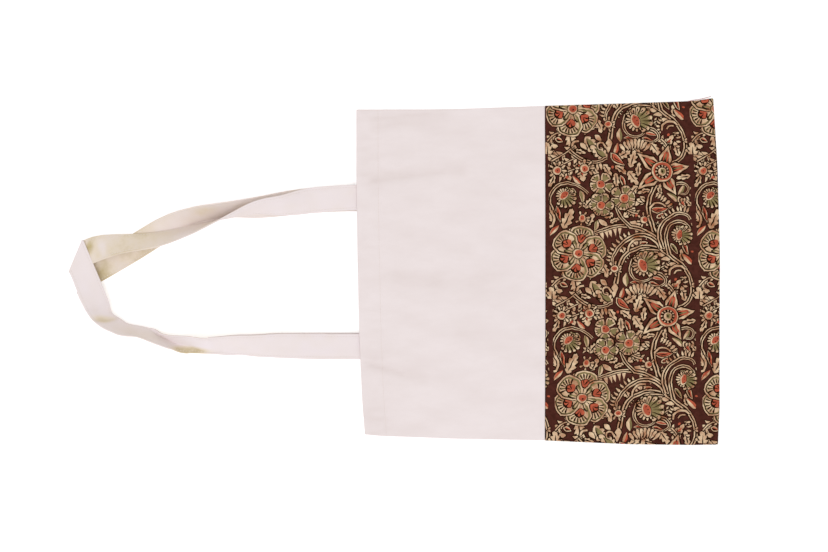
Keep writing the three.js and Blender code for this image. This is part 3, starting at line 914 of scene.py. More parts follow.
# Stalks: their points, the width, the dark core's width, 0 for none, and the share left at the tip
for row in (
    ([(78.5, 128), (80, 118), (82, 110), (85.5, 102.5), (91, 96.5), (99, 92.5), (109, 91), (118, 92.5),
      (126, 96), (134, 102), (141, 108), (147, 115), (151, 124), (152.5, 133), (151, 142), (146, 148),
      (139, 152)], 4.4, 1.4, 0.75),
    ([(119, 95.5), (109, 95), (101, 98), (95, 103.5), (92.5, 111), (93, 118), (96.5, 123), (103, 125.5),
      (110, 124), (114, 119)], 3.8, 1.2, 0.6),
    ([(125, 95), (120, 84), (115, 73), (112, 62), (110.5, 52), (111.5, 44), (114.5, 36), (118, 29)],
     4.8, 1.6, 0.8),
    ([(124, 93), (117, 82), (108, 76), (98, 72), (88, 70.5), (78, 70.5), (69, 73), (61, 76), (55, 79)],
     4.6, 1.4, 0.55),
    ([(124, 94), (116, 84), (110, 80), (103, 79), (95, 81), (88, 85), (82, 90), (78, 96), (75, 103),
      (74.5, 109)], 4.6, 1.4, 0.6),
    ([(93, 71), (87, 66), (82, 59), (79, 51), (78, 42)], 3.8, 1.3, 0.8),
    ([(124, 92), (121, 84), (121, 76), (124, 68), (129, 63), (136, 59), (142, 57.5), (148, 59.5),
      (151, 64)], 4.6, 1.4, 0.6),
    ([(130, 98), (127.5, 88), (127.5, 78), (130, 71), (135, 67), (141, 65.5), (147, 68), (150.5, 73)],
     4.0, 1.3, 0.7),
    ([(18, 58), (15, 50), (14.5, 42), (17, 35), (22, 30), (29, 27.5), (37, 28.5), (45, 32), (52, 38)],
     4.0, 1.3, 0.6),
    ([(52, 152), (45, 147), (41, 139), (42, 131.5), (47.5, 130)], 2.4, 0, 0.8),
    ([(34, -5), (40, 0), (47, 4), (55, 6.5), (63, 6), (71, 2)], 3.8, 1.3, 0.7),
    ([(135, 30), (142, 27), (148, 29), (150, 34), (147.5, 38.5), (142, 38)], 3.4, 1.1, 0.6),
    ([(130, 119), (131, 114), (136, 110), (142, 110.5), (146, 114)], 2.4, 0, 0.7),
    ([(135, 118), (138, 114.5), (142, 115)], 1.8, 0, 0.7),
    ([(114, 117), (120, 117.5), (125, 121.5), (126.5, 127), (122, 130)], 3.6, 1.2, 0.6),
    ([(103, 83.5), (95, 85), (91, 90), (90, 96)], 2.4, 0, 0.6),
    ([(22, 37), (25, 34), (32, 33), (38, 35), (39, 41)], 2.8, 0, 0.8),
    ([(16, 55), (19, 63), (17, 70), (12, 71), (9.5, 67)], 2.4, 0, 0.7),
    ([(112, 52), (117, 47.5), (123, 48), (128, 51)], 2.2, 0, 0.6),
    ([(70, -8), (67, -13), (62, -12), (62.5, -7), (66, -6)], 2.0, 0, 0.6),
):
    stem(*row)

# Small buds: x and y, the way they face in degrees, size and strokes
for row in (
    (22, 15, -90, 5.4, 8), (49, 13, -90, 5.6, 7), (77, 113, 0, 4.6, 6), (46, 63, 20, 4.6, 6),
    (106, 64, 190, 4.4, 6),
):
    budlet(*row)

# Blossoms by x, y, radius, petals and turn, buds by x, y, size and facing, and dots by x, y, radius
for row in ((64, 29, 10, 5, 18), (87, 43, 11, 6, 40), (64, 50, 10, 6, 0)):
    blossom(*row)
for row in ((104, 110, 11.5, -30), (140, 79, 8.6, 0), (28, 40, 8.8, 40)):
    bud(*row)
for x, y, radius in ((98, 60, 1.4), (76, 12, 1.3), (136, 124, 1.4), (152, 96, 1.3), (31, 22, 1.4)):
    rings(x, y, (RED, radius, 8))

# The two large flowers, with the star's petals by direction and length
rosette(42, 98, -79)
star(124.8, 15.8, ((-143, 30), (-75, 27), (-12, 27), (62, 27), (145, 30)))


def shapes_of_cell():
    """The repeat and what of its neighbours reaches into it, as shapes on one upright cell."""
    shapes = []
    for i in (-1, 0, 1):
        for j in (-1, 0, 1):
            for ink, outline in blocks:
                lean = DRIFT * outline[:, 1] / REPEAT_Y
                upright = np.stack([outline[:, 0] - lean, outline[:, 1]], axis=1) + CELL * (i, j)
                if np.all(upright.max(axis=0) > 0) and np.all(upright.min(axis=0) < CELL):
                    shapes.append((ink, upright))
    return shapes


def ink_at(points):
    """The ink that lies uppermost at each point of the cell."""
    order = np.argsort(points[:, 0])
    x, y = points[order].T
    ink = np.zeros(len(points), dtype=np.int32)
    for colour, shape in cell_shapes:
        (low_x, low_y), (high_x, high_y) = shape.min(axis=0), shape.max(axis=0)
        start, stop = np.searchsorted(x, (low_x, high_x))
        near = start + np.flatnonzero((y[start:stop] > low_y) & (y[start:stop] < high_y))
        if not near.size:
            continue
        px, py = x[near, None], y[near, None]
        (ax, ay), (bx, by) = shape.T, np.roll(shape, -1, axis=0).T
        crosses = (ay > py) != (by > py)
        reach = ax + (py - ay) * (bx - ax) / np.where(by == ay, 1e-9, by - ay)
        turns = np.where(crosses & (px < reach), np.where(by > ay, 1, -1), 0).sum(axis=1)
        ink[near[turns != 0]] = colour
    uppermost = np.zeros(len(points), dtype=np.int32)
    uppermost[order] = ink
    return uppermost


# The block's bare margin, the strip that small leaves are kept out of, and the sizes of those leaves
MARGIN = 8.2
MARGIN_WIDE = 4.4
CLEAR_STRIP = (6, 12.5)
LEAF_ROOM = 3.2
LEAF_LONGEST, LEAF_WIDEST, LEAF_BEND = 7.0, 5.0, 1.2


def fill_ground():
    """Small leaves under the rest, cut wherever the block would leave a wide bare ground."""
    rng = np.random.default_rng(17)
    grid = np.floor(CELL).astype(int)
    across, down = np.meshgrid(np.arange(grid[0]) + 0.5, np.arange(grid[1]) + 0.5, indexing="ij")
    spots = np.stack([across.ravel(), down.ravel()], axis=1)
    clear = (across > CLEAR_STRIP[0]) & (across < CLEAR_STRIP[1])
    bare = (ink_at(spots) == GROUND).reshape(across.shape) & ~clear
    room = np.where(bare, 99.0, 0.0)
    for _ in range(12):
        for i, j in ((0, 1), (0, -1), (1, 0), (-1, 0), (1, 1), (1, -1), (-1, 1), (-1, -1)):
            room = np.minimum(room, np.roll(room, (i, j), axis=(0, 1)) + math.hypot(i, j))
    drawn = list(blocks)
    blocks.clear()
    while room.max() >= LEAF_ROOM:
        i, j = np.unravel_index(np.argmax(room), room.shape)
        free = room[i, j]
        middle = np.array([across[i, j], down[i, j]])
        best, way = -1.0, None
        for angle in rng.uniform(0, 2 * math.pi) + np.arange(8) * math.pi / 8:
            ray = np.array([math.cos(angle), math.sin(angle)])
            steps = [(middle + ray * s).astype(int) % grid for s in (-5, -3.5, 3.5, 5)]
            back_far, back_near, near, far = (room[tuple(step)] for step in steps)
            open_to = min(back_near, near) + 0.4 * (back_far + far)
            if open_to > best:
                best, way = open_to, ray
        long = min(free * 1.1 + 0.5 * best + 1.0, LEAF_LONGEST)
        wide = min(free * 1.05, LEAF_WIDEST)
        lean = np.array([DRIFT * middle[1] / REPEAT_Y, 0])
        ends = (*(middle + lean - way * long), *(middle + lean + way * long))
        bend = rng.uniform(-LEAF_BEND, LEAF_BEND)
        kind = rng.integers(0, 5)
        if kind < 3:
            shaded_leaf(*ends, wide, bend, (RED, RED, OLIVE)[kind])
        else:
            cut_leaf(*ends, wide * 1.15, bend, 3, 0)
        away = np.abs(spots - middle)
        away = np.minimum(away, grid - away) * np.where(spots < middle, -1, 1)
        along = np.clip(away @ way, -long, long)
        gap = np.linalg.norm(away - along[:, None] * way, axis=1) - wide / 2
        room = np.minimum(room, np.maximum(gap, 0).reshape(room.shape))
    blocks.extend(drawn)


cell_shapes = shapes_of_cell()
fill_ground()

# The bare margin down the edge of the block, a little longer than the block so that no gap is left
margin_lap = 2.0
margin_lean = DRIFT * margin_lap / REPEAT_Y
margin_near, margin_far = MARGIN - margin_lean, MARGIN + DRIFT + margin_lean
paint(GROUND, [
    (margin_near, -margin_lap), (margin_near + MARGIN_WIDE, -margin_lap),
    (margin_far + MARGIN_WIDE, REPEAT_Y + margin_lap), (margin_far, REPEAT_Y + margin_lap),
])
cell_shapes = shapes_of_cell()

# How finely points are told apart, and how far a line may be straightened
DIGITS = 3
NEAR = 1e-3
SLACK = 0.1


def triangulate(points, edges):
    """Triangles over flat points that keep to the given edges."""
    apart = 1e-5
    keys = np.round(np.asarray(points), DIGITS)
    kept, number = np.unique(keys, axis=0, return_inverse=True)
    number = number.ravel()
    links = np.sort(number[np.asarray(edges, dtype=int)], axis=1)
    links = np.unique(links[links[:, 0] != links[:, 1]], axis=0)
    flat = [Vector(point) for point in kept.tolist()]
    found = geometry.delaunay_2d_cdt(flat, links.tolist(), [], 0, apart, False)
    return np.array([tuple(p) for p in found[0]]), np.array(found[2], dtype=int)


def chained(lines, closed):
    """The points of some lines, one after another, and the edges along each line."""
    edges, count = [], 0
    for line in lines:
        ids = np.arange(len(line) + closed) % len(line) + count
        edges.append(np.stack([ids[:-1], ids[1:]], axis=1))
        count += len(line)
    return np.concatenate(lines), np.concatenate(edges)


def visible_edges():
    """The lines of the cell where one ink meets another, as pairs of points."""
    border = np.array([(0, 0), (REPEAT_X, 0), (REPEAT_X, REPEAT_Y), (0, REPEAT_Y)])
    places, triangles = triangulate(*chained([border, *(shape for _, shape in cell_shapes)], True))
    middles = places[triangles].mean(axis=1)
    inside = np.all((middles > 0) & (middles < CELL), axis=1)
    triangles, ink = triangles[inside], ink_at(middles[inside])
    sides = np.concatenate([triangles[:, [0, 1]], triangles[:, [1, 2]], triangles[:, [2, 0]]])
    colour = np.tile(ink, 3)
    key = np.sort(sides, axis=1)
    order = np.lexsort((key[:, 1], key[:, 0]))
    key, colour = key[order], colour[order]
    pair = np.flatnonzero(np.all(key[:-1] == key[1:], axis=1))
    meets = pair[colour[pair] != colour[pair + 1]]
    return thinned(places[key[meets]], SLACK)


def thinned(lines, slack):
    """The same lines without the points that hardly bend them."""
    spots, number = np.unique(np.round(lines.reshape(-1, 2), DIGITS), axis=0, return_inverse=True)
    joined = [set() for _ in spots]
    for a, b in number.reshape(-1, 2).tolist():
        joined[a].add(b)
        joined[b].add(a)
    for here, ends in enumerate(joined):
        if len(ends) != 2:
            continue
        a, b = ends
        run, off = spots[b] - spots[a], spots[here] - spots[a]
        if b not in joined[a] and abs(run[0] * off[1] - run[1] * off[0]) < slack * math.hypot(*run):
            joined[a].remove(here)
            joined[b].remove(here)
            joined[a].add(b)
            joined[b].add(a)
            joined[here] = set()
    return np.array([(spots[a], spots[b]) for a, ends in enumerate(joined) for b in ends if a < b])


# The sheet's own plan: w runs from the front seam down to the base fold, round it and back up to
# the back seam, and t across the body from side to side
DOWN, ROUND = 177.0, 8.0
LENGTH = 2 * DOWN + ROUND
HALF = 180.0
FOLD_ROWS = DOWN + ROUND * np.arange(11) / 10
PRINT_START = SEAM_X + SEAM_GAP / 2

# Where the chart starts on the sheet, and how far the seams and the fold hold the cloth flat
CHART_W, CHART_Y = -6.9, -32.2
BASE_RUN = 14.0
HELD, SEAM_EASE, FOLD_EASE = 2.0, 12.0, 16.0


def fold_of(across):
    """Where the base fold starts along the bag, and its radius."""
    base = np.interp(across, WIDTHWISE, BASE)
    radius = front_height(base, across) / 2
    return base - radius, radius


def place_along(w, across):
    """How far along the bag a place of the sheet lies."""
    fold_x = fold_of(across)[0]
    share = np.minimum(np.minimum(w, LENGTH - w) / DOWN, 1)
    return PRINT_START + (fold_x - PRINT_START) * share


def sheet_point(w, t, depth):
    """A point of the sheet, at a depth into it from its printed face."""
    across = t / HALF
    fold_x, radius = fold_of(across)
    x = place_along(w, across)
    width = half_width(x, across)
    y = across * width
    near_side = (1 - np.abs(across)) * width
    top = front_height(x, across) - SEAM_DIP * rounded(w, SEAM_ROUND)
    blend = smoothstep((w - DOWN + BASE_RUN) / BASE_RUN)
    top = top * (1 - blend) + 2 * radius * blend
    loose = np.sqrt(np.clip(fullness(across), 0, 1)) * smoothstep((LENGTH - w - HELD) / SEAM_EASE)
    under = under_lift(x, y, 22) * loose * smoothstep((w - DOWN - ROUND - HELD) / FOLD_EASE)
    fall = rounded(near_side, SIDE_ROUND) * (depth == 0)
    angle = np.pi / 2 - np.pi * np.clip((w - DOWN) / ROUND, 0, 1)
    bent = (w > DOWN) & (w < DOWN + ROUND)
    turned = radius - depth - fall
    x = np.where(bent, fold_x + turned * np.cos(angle), x)
    z = np.where(w <= DOWN, top - depth - fall, under + depth + fall)
    z = np.where(bent, radius + turned * np.sin(angle), z)
    return np.stack([x, y, z], axis=-1)


def chart_to_sheet(chart):
    """Places on the sheet's plan of points on the chart."""
    w = CHART_W + STEP * chart[:, 0]
    y = CHART_Y - STEP * chart[:, 1]
    x = place_along(w, np.clip(y / HALF, -1, 1))
    return np.stack([w, y * HALF / half_width(x, y)], axis=1)


def sheet_to_cell(sheet):
    """Places in the upright cell of points on the sheet's plan."""
    x = place_along(sheet[:, 0], sheet[:, 1] / HALF)
    y = sheet[:, 1] * half_width(x, sheet[:, 1]) / HALF
    chart_x, chart_y = (sheet[:, 0] - CHART_W) / STEP, (CHART_Y - y) / STEP
    return np.stack([(chart_x - DRIFT * chart_y / REPEAT_Y) % REPEAT_X, chart_y % REPEAT_Y], axis=1)


def sheet_grid(w, step):
    """Points spread over the sheet, at given places along it and a step apart across it."""
    grid = np.meshgrid(w, np.arange(INSET - HALF, HALF - INSET + 1, step), indexing="ij")
    return np.stack([side.ravel() for side in grid], axis=1)


# Lines kept along the seams and the sides, and the steps of the points spread between them
LINE_POINTS = 73
SEAM_LINES = (0.3, 0.8, 1.6, 2.6, LENGTH - 1.2)
SIDE_LINES = (0.15, 0.5, 1.0, 2.5)
INSET = 6
PRINT_FIRST, CLEAR_END = 5, 3
PRINT_GRID, LINING_GRID = 4.5, 6
REPEATS_ALONG, REPEATS_ACROSS = range(-1, 4), range(-2, 2)


def printed_sheet():
    """The outer face's triangles with their inks, cut along every line of the print."""
    lines = visible_edges()
    copies = []
    for i in REPEATS_ALONG:
        for j in REPEATS_ACROSS:
            x = lines[..., 0] + DRIFT * lines[..., 1] / REPEAT_Y + REPEAT_X * i + DRIFT * j
            y = lines[..., 1] + REPEAT_Y * j
            chart = np.stack([x, y], axis=2).reshape(-1, 2)
            copies.append(chart_to_sheet(chart).reshape(-1, 2, 2))
    lines = np.concatenate(copies)
    low, high = lines.min(axis=1), lines.max(axis=1)
    touches = (high[:, 0] > 0) & (low[:, 0] < LENGTH) & (high[:, 1] > -HALF) & (low[:, 1] < HALF)
    lines = lines[touches]
    border = np.array([(0, -HALF), (LENGTH, -HALF), (LENGTH, HALF), (0, HALF), (0, -HALF)])
    w_steps, t_steps = np.linspace(0, LENGTH, LINE_POINTS), np.linspace(-HALF, HALF, LINE_POINTS)
    lines = [*lines, border]
    for w in (*SEAM_LINES, *FOLD_ROWS):
        lines.append(np.stack([np.full(LINE_POINTS, w), t_steps], axis=1))
    for t in SIDE_LINES:
        for sign in (-1, 1):
            lines.append(np.stack([w_steps, np.full(LINE_POINTS, sign * (HALF - t))], axis=1))
    points, edges = chained(lines, False)
    spread = sheet_grid(np.arange(PRINT_FIRST, LENGTH - CLEAR_END, PRINT_GRID), PRINT_GRID)
    places, triangles = triangulate(np.concatenate([points, spread]), edges)
    middles = places[triangles].mean(axis=1)
    keep = (middles[:, 0] > 0) & (middles[:, 0] < LENGTH) & (np.abs(middles[:, 1]) < HALF)
    triangles, middles = triangles[keep], middles[keep]
    ink = ink_at(sheet_to_cell(middles))
    merged, number = np.unique(np.round(places, DIGITS), axis=0, return_inverse=True)
    triangles = number.ravel()[triangles]
    a, b, c = triangles.T
    whole = (a != b) & (b != c) & (c != a)
    used, triangles = np.unique(triangles[whole], return_inverse=True)
    return merged[used], triangles.reshape(-1, 3), ink[whole]


def rim_of(places):
    """The points along the sheet's four edges, in order round it."""
    w, t = places.T
    left, right = np.abs(w) < NEAR, np.abs(w - LENGTH) < NEAR
    low, high = np.abs(t + HALF) < NEAR, np.abs(t - HALF) < NEAR
    turn = np.full(len(places), -1.0)
    turn[high] = 2 * LENGTH + 2 * HALF - w[high]
    turn[left] = 2 * LENGTH + 4 * HALF - (t[left] + HALF)
    turn[low] = w[low]
    turn[right & ~low] = LENGTH + t[right & ~low] + HALF
    edge = np.flatnonzero(turn >= 0)
    return edge[np.argsort(turn[edge])]


places, triangles, ink = printed_sheet()
rim = rim_of(places)
lining_rows = np.concatenate([
    np.arange(LINING_GRID, DOWN - CLEAR_END, LINING_GRID),
    FOLD_ROWS,
    np.arange(DOWN + ROUND + LINING_GRID, LENGTH - CLEAR_END, LINING_GRID),
])
rim_points, rim_edges = chained([places[rim]], True)
lining_spread = sheet_grid(lining_rows, LINING_GRID)
lining_places, lining = triangulate(np.concatenate([rim_points, lining_spread]), rim_edges)
inside = np.abs(lining_places[lining].mean(axis=1) - (LENGTH / 2, 0)) < (LENGTH / 2, HALF)
lining = lining[np.all(inside, axis=1)]
lining_rim = rim_of(lining_places)
outer_points = sheet_point(*places.T, 0.0)
lining_points = sheet_point(*lining_places.T, CLOTH)
lining, lining_rim = lining + len(places), lining_rim + len(places)
walls = np.stack([rim, np.roll(rim, -1), np.roll(lining_rim, -1), lining_rim], axis=1)
panel_faces = [*triangles.tolist(), *lining.tolist(), *walls.tolist()]
printed_body = cloth_mesh(
    "printed_body",
    np.concatenate([outer_points, lining_points]),
    panel_faces,
    np.concatenate([places, lining_places]),
)
for row in (
    ("maroon_ground", (82, 43, 35), (58, 29, 22), 190, 0.34, 0.72),
    ("dark_line", (31, 15, 3), (47, 23, 9), 160, 0.4, 0.72),
    ("cream_ink", (226, 199, 164), (151, 88, 53), 90, 0.36, 0.7),
    ("olive_ink", (137, 122, 82), (104, 90, 57), 120, 0.4, 0.72),
    ("red_ink", (187, 92, 66), (148, 68, 50), 120, 0.38, 0.7),
):
    printed_body.data.materials.append(cloth_material(*row))
ink_slots = np.zeros(len(panel_faces), dtype=np.int32)
ink_slots[: len(ink)] = ink
printed_body.data.polygons.foreach_set("material_index", ink_slots)
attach(printed_body, "root")
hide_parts("print_panel")

# A loose end of pink cotton thread, left over from sewing up the side seam.
# It comes out at the corner where that seam meets the base fold, and lies along the edge.
LOOSE_END = (
    (311.5, 178.8, 3.3), (318, 180.2, 3.7), (325.5, 181.4, 3.8), (332, 183, 3.7), (336.6, 184.2, 3.2)
)
LOOSE_RADIUS = 0.28
LOOSE_SIDES = 8
LOOSE_STEP = 0.9
UP = np.array([0, 0, 1.0])
loose_line = run_along(LOOSE_END, LOOSE_STEP)
loose_ahead = units(np.gradient(loose_line, axis=0))
loose_side = units(np.cross(loose_ahead, UP))
loose_up = np.cross(loose_side, loose_ahead)
loose_rings = []
for turn in np.linspace(0, 2 * np.pi, LOOSE_SIDES, endpoint=False):
    loose_rings.append(loose_line + LOOSE_RADIUS * (np.cos(turn) * loose_side + np.sin(turn) * loose_up))
loose_points = np.stack(loose_rings, axis=1).reshape(-1, 3)
loose_numbers = np.arange(len(loose_points)).reshape(-1, LOOSE_SIDES)
loose_faces = [loose_numbers[0].tolist(), loose_numbers[-1].tolist()]
for near, far in zip(loose_numbers, loose_numbers[1:]):
    loose_faces += np.stack([near, np.roll(near, -1), np.roll(far, -1), far], axis=1).tolist()
loose_thread = cloth_mesh("loose_thread", loose_points, loose_faces, loose_points[:, :2])
pink = cloth_material("pink_thread", (176, 104, 108), (132, 80, 90), 400, 0.4, 0.7, weave=0.2)
loose_thread.data.materials.append(pink)
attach(loose_thread, "root")

# The front shoulder strap: a strip of calico folded in on itself and stitched along both edges.
# Its ends are sewn inside the front hem. It lies past the mouth, twisted and folded over once.
STRAP_WIDTH = 27.0
STRAP_CLOTH = 1.6
STRAP_FOLD = 2.7
SKEW_RUN = 24.0
ROW_STEPS = 10
FOLD_STEPS = 12
EDGE_SHARE = 0.04

# Each row is a point of the strap's middle line or crease, the height under it and its roll in degrees
FRONT_ROWS = (
    (-13.5, 76.9, 6.8, -2), (-38, 76.9, 6.8, -2), (-62.5, 75.8, 5.8, 0), (-86.9, 73.7, 4.4, 8),
    (-115.5, 68.4, 5.0, 38), (-144.2, 65.7, 6.4, 62), (-179.1, 54.6, 2.0, 90), (-214.1, 42.4, 3.0, 113),
    (-248, 32.3, 7.4, 126), (-282, 28.1, 4.2, 136), (-299, 26, 4.4, 150), (-315, 22.3, 5.8, 172),
    (-335.8, 14, 5.8, 180), (-328.1, -4.2, 8.5, 360), (-314.3, -35.3, 8.5, 380),
    (-304.6, -51.2, 7.6, 410), (-288.6, -60.7, 6.8, 418), (-267.1, -60.4, 5.8, 427), (-248, -70, 5.8, 426),
    (-232.1, -77.4, 4.8, 420), (-216.2, -81.1, 4.4, 385), (-195, -88, 4.4, 385), (-163.2, -79.5, 3.8, 322),
    (-120.8, -80.3, 3.2, 343), (-78.4, -81.1, 4.0, 358), (-38, -81.1, 6.2, 358), (-13.5, -81.1, 6.2, 358),
)

# The row that it is folded over at and the roll after it, and where a lengthwise crease splits the
# width at some rows, with the roll of the side before it
FRONT_FOLD = (12, 360)
FRONT_CREASE = {17: (0.04, 427), 18: (0.24, 300), 19: (0.49, 310), 20: (0.69, 307), 21: (0.96, 312)}

# Half the thickness at shares of the width: thin edges, a dip under the stitches, a full middle
SHARES = np.array([0, 0.012, 0.03, 0.06, 0.085, 0.105, 0.14, 0.2, 0.27, 0.34, 0.42, 0.5])
SHARES = np.concatenate([SHARES, 1 - SHARES[-2::-1]])
HALF_THICK = np.array([0.22, 0.56, 0.76, 0.72, 0.58, 0.58, 0.74, 0.82, 0.8, 0.78, 0.78, 0.78])
HALF_THICK = np.concatenate([HALF_THICK, HALF_THICK[-2::-1]])
MIDDLE_COLUMN = len(SHARES) // 2
STITCHED = ((4, 5), (-5, -6))
STRAP_STANDS = 0.04
RIPPLE = 0.05
WORN, WORN_VARIES = 0.13, 0.09
SOFTENED = (-0.05, -0.025, 0, 0.025, 0.05)


def unit(vector):
    return vector / np.linalg.norm(vector)


def fold_crease(rows, index):
    """The line that a strap is folded over along: it halves the turn between its two directions."""
    here = np.array(rows[index][:2])
    arriving = unit(here - np.array(rows[index - 1][:2]))
    leaving = unit(np.array(rows[index + 1][:2]) - here)
    along = unit(arriving + leaving)
    outward = unit(arriving - along * (arriving @ along))
    half = STRAP_WIDTH / 2 / (arriving @ outward)
    return np.append(along, 0), np.append(outward, 0), half, here


def leg_sections(rows, creased, first_turn, crease):
    """Sections of a stretch of strap between its end and its fold, as rows of points across it."""
    crease_along, _, crease_half, crease_at = crease
    table = []
    for number, (x, y, lift, turn) in rows:
        split, before = creased.get(number, (0.5, turn))
        table.append([x, y, lift, turn, before, split])
    if first_turn is not None:
        table[0][2] += STRAP_FOLD
        table[0][3] = table[0][4] = first_turn
    table = np.array(table, float)
    sections = []
    steps = (len(rows) - 1) * ROW_STEPS
    for step in range(steps + 1):
        t = step / steps
        middle = np.append(curve_at(table[:, :2], t), 0)
        ahead = curve_at(table[:, :2], min(t + NEAR, 1)) - curve_at(table[:, :2], max(t - NEAR, 0))
        travel = unit(np.append(ahead, 0))
        lift, turn, before, split = (curve_at(table[:, [k]], t)[0] for k in range(2, 6))
        share = min(max(split, EDGE_SHARE), 1 - EDGE_SHARE)

        def rolled(degrees):
            angle = math.radians(degrees)
            return np.array([travel[1], -travel[0], 0]) * math.cos(angle) + UP * math.sin(angle)

        across_before, across_after = rolled(before), rolled(turn)
        edge = middle - across_before * share * STRAP_WIDTH
        far_edge = middle + across_after * (1 - share) * STRAP_WIDTH
        away = math.hypot(*(middle[:2] - crease_at))
        skew = max(0, 1 - away / SKEW_RUN) * crease_half * (crease_along @ travel)
        side = np.sign(crease_along @ across_after)
        edge = edge - travel * side * skew
        far_edge = far_edge + travel * side * skew

        def at_share(s):
            low = middle + (edge - middle) * ((share - s) / share)[:, None]
            high = middle + (far_edge - middle) * ((s - share) / (1 - share))[:, None]
            return np.where((s < share)[:, None], low, high)

        points = sum(at_share(SHARES + shift) for shift in SOFTENED) / len(SOFTENED)
        flat = [unit(np.cross(across, travel))[2] for across in (across_before, across_after)]
        under = points[:, 2] - np.where(SHARES < share, abs(flat[0]), abs(flat[1])) * STRAP_CLOTH / 2
        sections.append(points + UP * (max(lift, SEAM_GAP) - under.min()))
    return sections


def fold_sections(crease, before):
    """Sections round a fold, from the layer below to the layer above."""
    outward, radius = crease[1], STRAP_FOLD / 2
    turns = np.linspace(0, math.pi, FOLD_STEPS + 1)[1:-1]
    return [before + outward * radius * math.sin(a) + UP * radius * (1 - math.cos(a)) for a in turns]


def make_strap(name, rows, fold, creased, dents, shaded, seed):
    """A strap and its stitches, with dents and with places of painted shade and painted light on one face.
    """
    fold_row, fold_turn = fold
    numbered = list(enumerate(rows))
    crease = fold_crease(rows, fold_row)
    first = leg_sections(numbered[: fold_row + 1], creased, None, crease)
    last = leg_sections(numbered[fold_row:], creased, fold_turn, crease)
    middle = np.array([*first, *fold_sections(crease, first[-1]), *last])
    across = np.gradient(middle, SHARES, axis=1)
    normal = units(np.cross(across, np.gradient(middle, axis=0)))
    run = np.cumsum(np.linalg.norm(np.diff(middle[:, MIDDLE_COLUMN], axis=0), axis=1))
    run = np.broadcast_to(np.append(0, run)[:, None], middle.shape[:2])
    width = np.broadcast_to(SHARES * STRAP_WIDTH, middle.shape[:2])
    ripple = RIPPLE * relief(run, width * 3, 6, seed) + RIPPLE * relief(run, width, 15, seed + 1)
    row_of = np.concatenate([
        np.arange(len(first)) / ROW_STEPS,
        np.full(FOLD_STEPS - 1, fold_row),
        fold_row + np.arange(len(last)) / ROW_STEPS,
    ])[:, None]

    def near(row, share, long, wide, lean):
        off = SHARES - share
        return np.exp(-((((row_of - row - lean * off) / long) ** 2 + (off / wide) ** 2) ** 2))

    for *place, deep in dents:
        ripple = ripple - deep * near(*place)
    middle = middle + normal * ripple[..., None]
    top = middle + normal * HALF_THICK[None, :, None]
    below = middle - normal * HALF_THICK[None, :, None]
    piece = cloth_wall(name, top, below, np.stack([run, width], axis=2))
    piece.data.materials.append(strap_calico)
    mottle_and_crease_shade = WORN + WORN_VARIES * relief(run, width * 1.6, 13, seed + 2)
    tone = np.stack([mottle_and_crease_shade, mottle_and_crease_shade])
    # painted shade on one face of the strap, and painted light where a depth is negative
    for face, *place, deep in shaded:
        tone[face] += deep * near(*place)
    shade = piece.data.attributes.new("shade", "FLOAT", "POINT")
    shade.data.foreach_set("value", tone.astype(np.float32).ravel())
    stitch_lines = []
    for face, stands in ((top, STRAP_STANDS), (below, -STRAP_STANDS)):
        for near_edge, next_in in STITCHED:
            line = (face[:, near_edge] + face[:, next_in]) / 2
            stitch_lines.append((line + stands * normal[:, near_edge])[2:-2])
    stitches = sew(name + "_stitches", stitch_lines, seed)
    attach(piece, "root")
    return piece, stitches


# Calico with painted shade: it turns yellower as far as the shade of each point says, and that shade is
# painted over the reverse face, into the folds and hollows, and lowered as painted light at a few places
strap_calico = cloth_material("strap_calico", (238, 228, 230), (188, 170, 118), 36, 0, 1)
strap_tree = strap_calico.node_tree
strap_drift = strap_tree.nodes["Color Ramp"]
yellower = strap_drift.color_ramp.elements.new(0.5)
yellower.color = srgb((229, 215, 196))
shade_read = add_node(strap_tree, "ShaderNodeAttribute", attribute_name="shade")
mottled_shade = add_node(strap_tree, "ShaderNodeMath", operation="MULTIPLY")
wire(
    strap_tree,
    (shade_read, "Fac", mottled_shade, 0),
    (strap_tree.nodes["Noise Texture"], "Fac", mottled_shade, 1),
    (mottled_shade, "Value", strap_drift, "Fac"),
)

# Dents, each by its row, its share of the width, its sizes along and across, its slant and depth
FRONT_DENTS = (
    (15.1, 0.5, 0.2, 0.5, -0.9, 1.5), (16.4, 0.3, 0.3, 0.4, 0, 0.5), (14.2, 0.6, 0.12, 0.3, 0.3, 0.4),
    (13.6, 0.5, 0.1, 0.4, -0.2, 0.25), (24.3, 0.55, 0.5, 0.12, 0, 0.3), (23.2, 0.5, 0.5, 0.1, 0.2, 0.3),
)

# Places of painted shade, and of painted light where the depth is negative, each by the face that it is
# on, 0 or 1, and then as a dent is
FRONT_SHADED = (
    (1, 13, 0.5, 99, 9, 0, 0.4), (1, 10.4, 0.5, 2.6, 9, 0, 0.45), (0, 20.0, 0.88, 1.0, 0.25, 0, 1.5),
    (0, 15.05, 0.55, 0.28, 0.42, -0.9, 1.0), (0, 17.2, 0.6, 1.9, 0.5, -0.6, 0.25),
    (1, 11.4, 0.4, 0.25, 0.3, 0, 0.5), (1, 10.6, 0.55, 0.3, 0.35, 0, -0.5),
    (1, 8.7, 0.5, 0.7, 9, 0, 0.2), (1, 7.0, 0.5, 0.7, 9, 0, -0.1), (0, 20.2, 0.35, 1.2, 0.4, 0, -0.15),
)
front_strap, front_strap_stitches = make_strap(
    "front_strap", FRONT_ROWS, FRONT_FOLD, FRONT_CREASE, FRONT_DENTS, FRONT_SHADED, 61
)
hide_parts("strap_front")

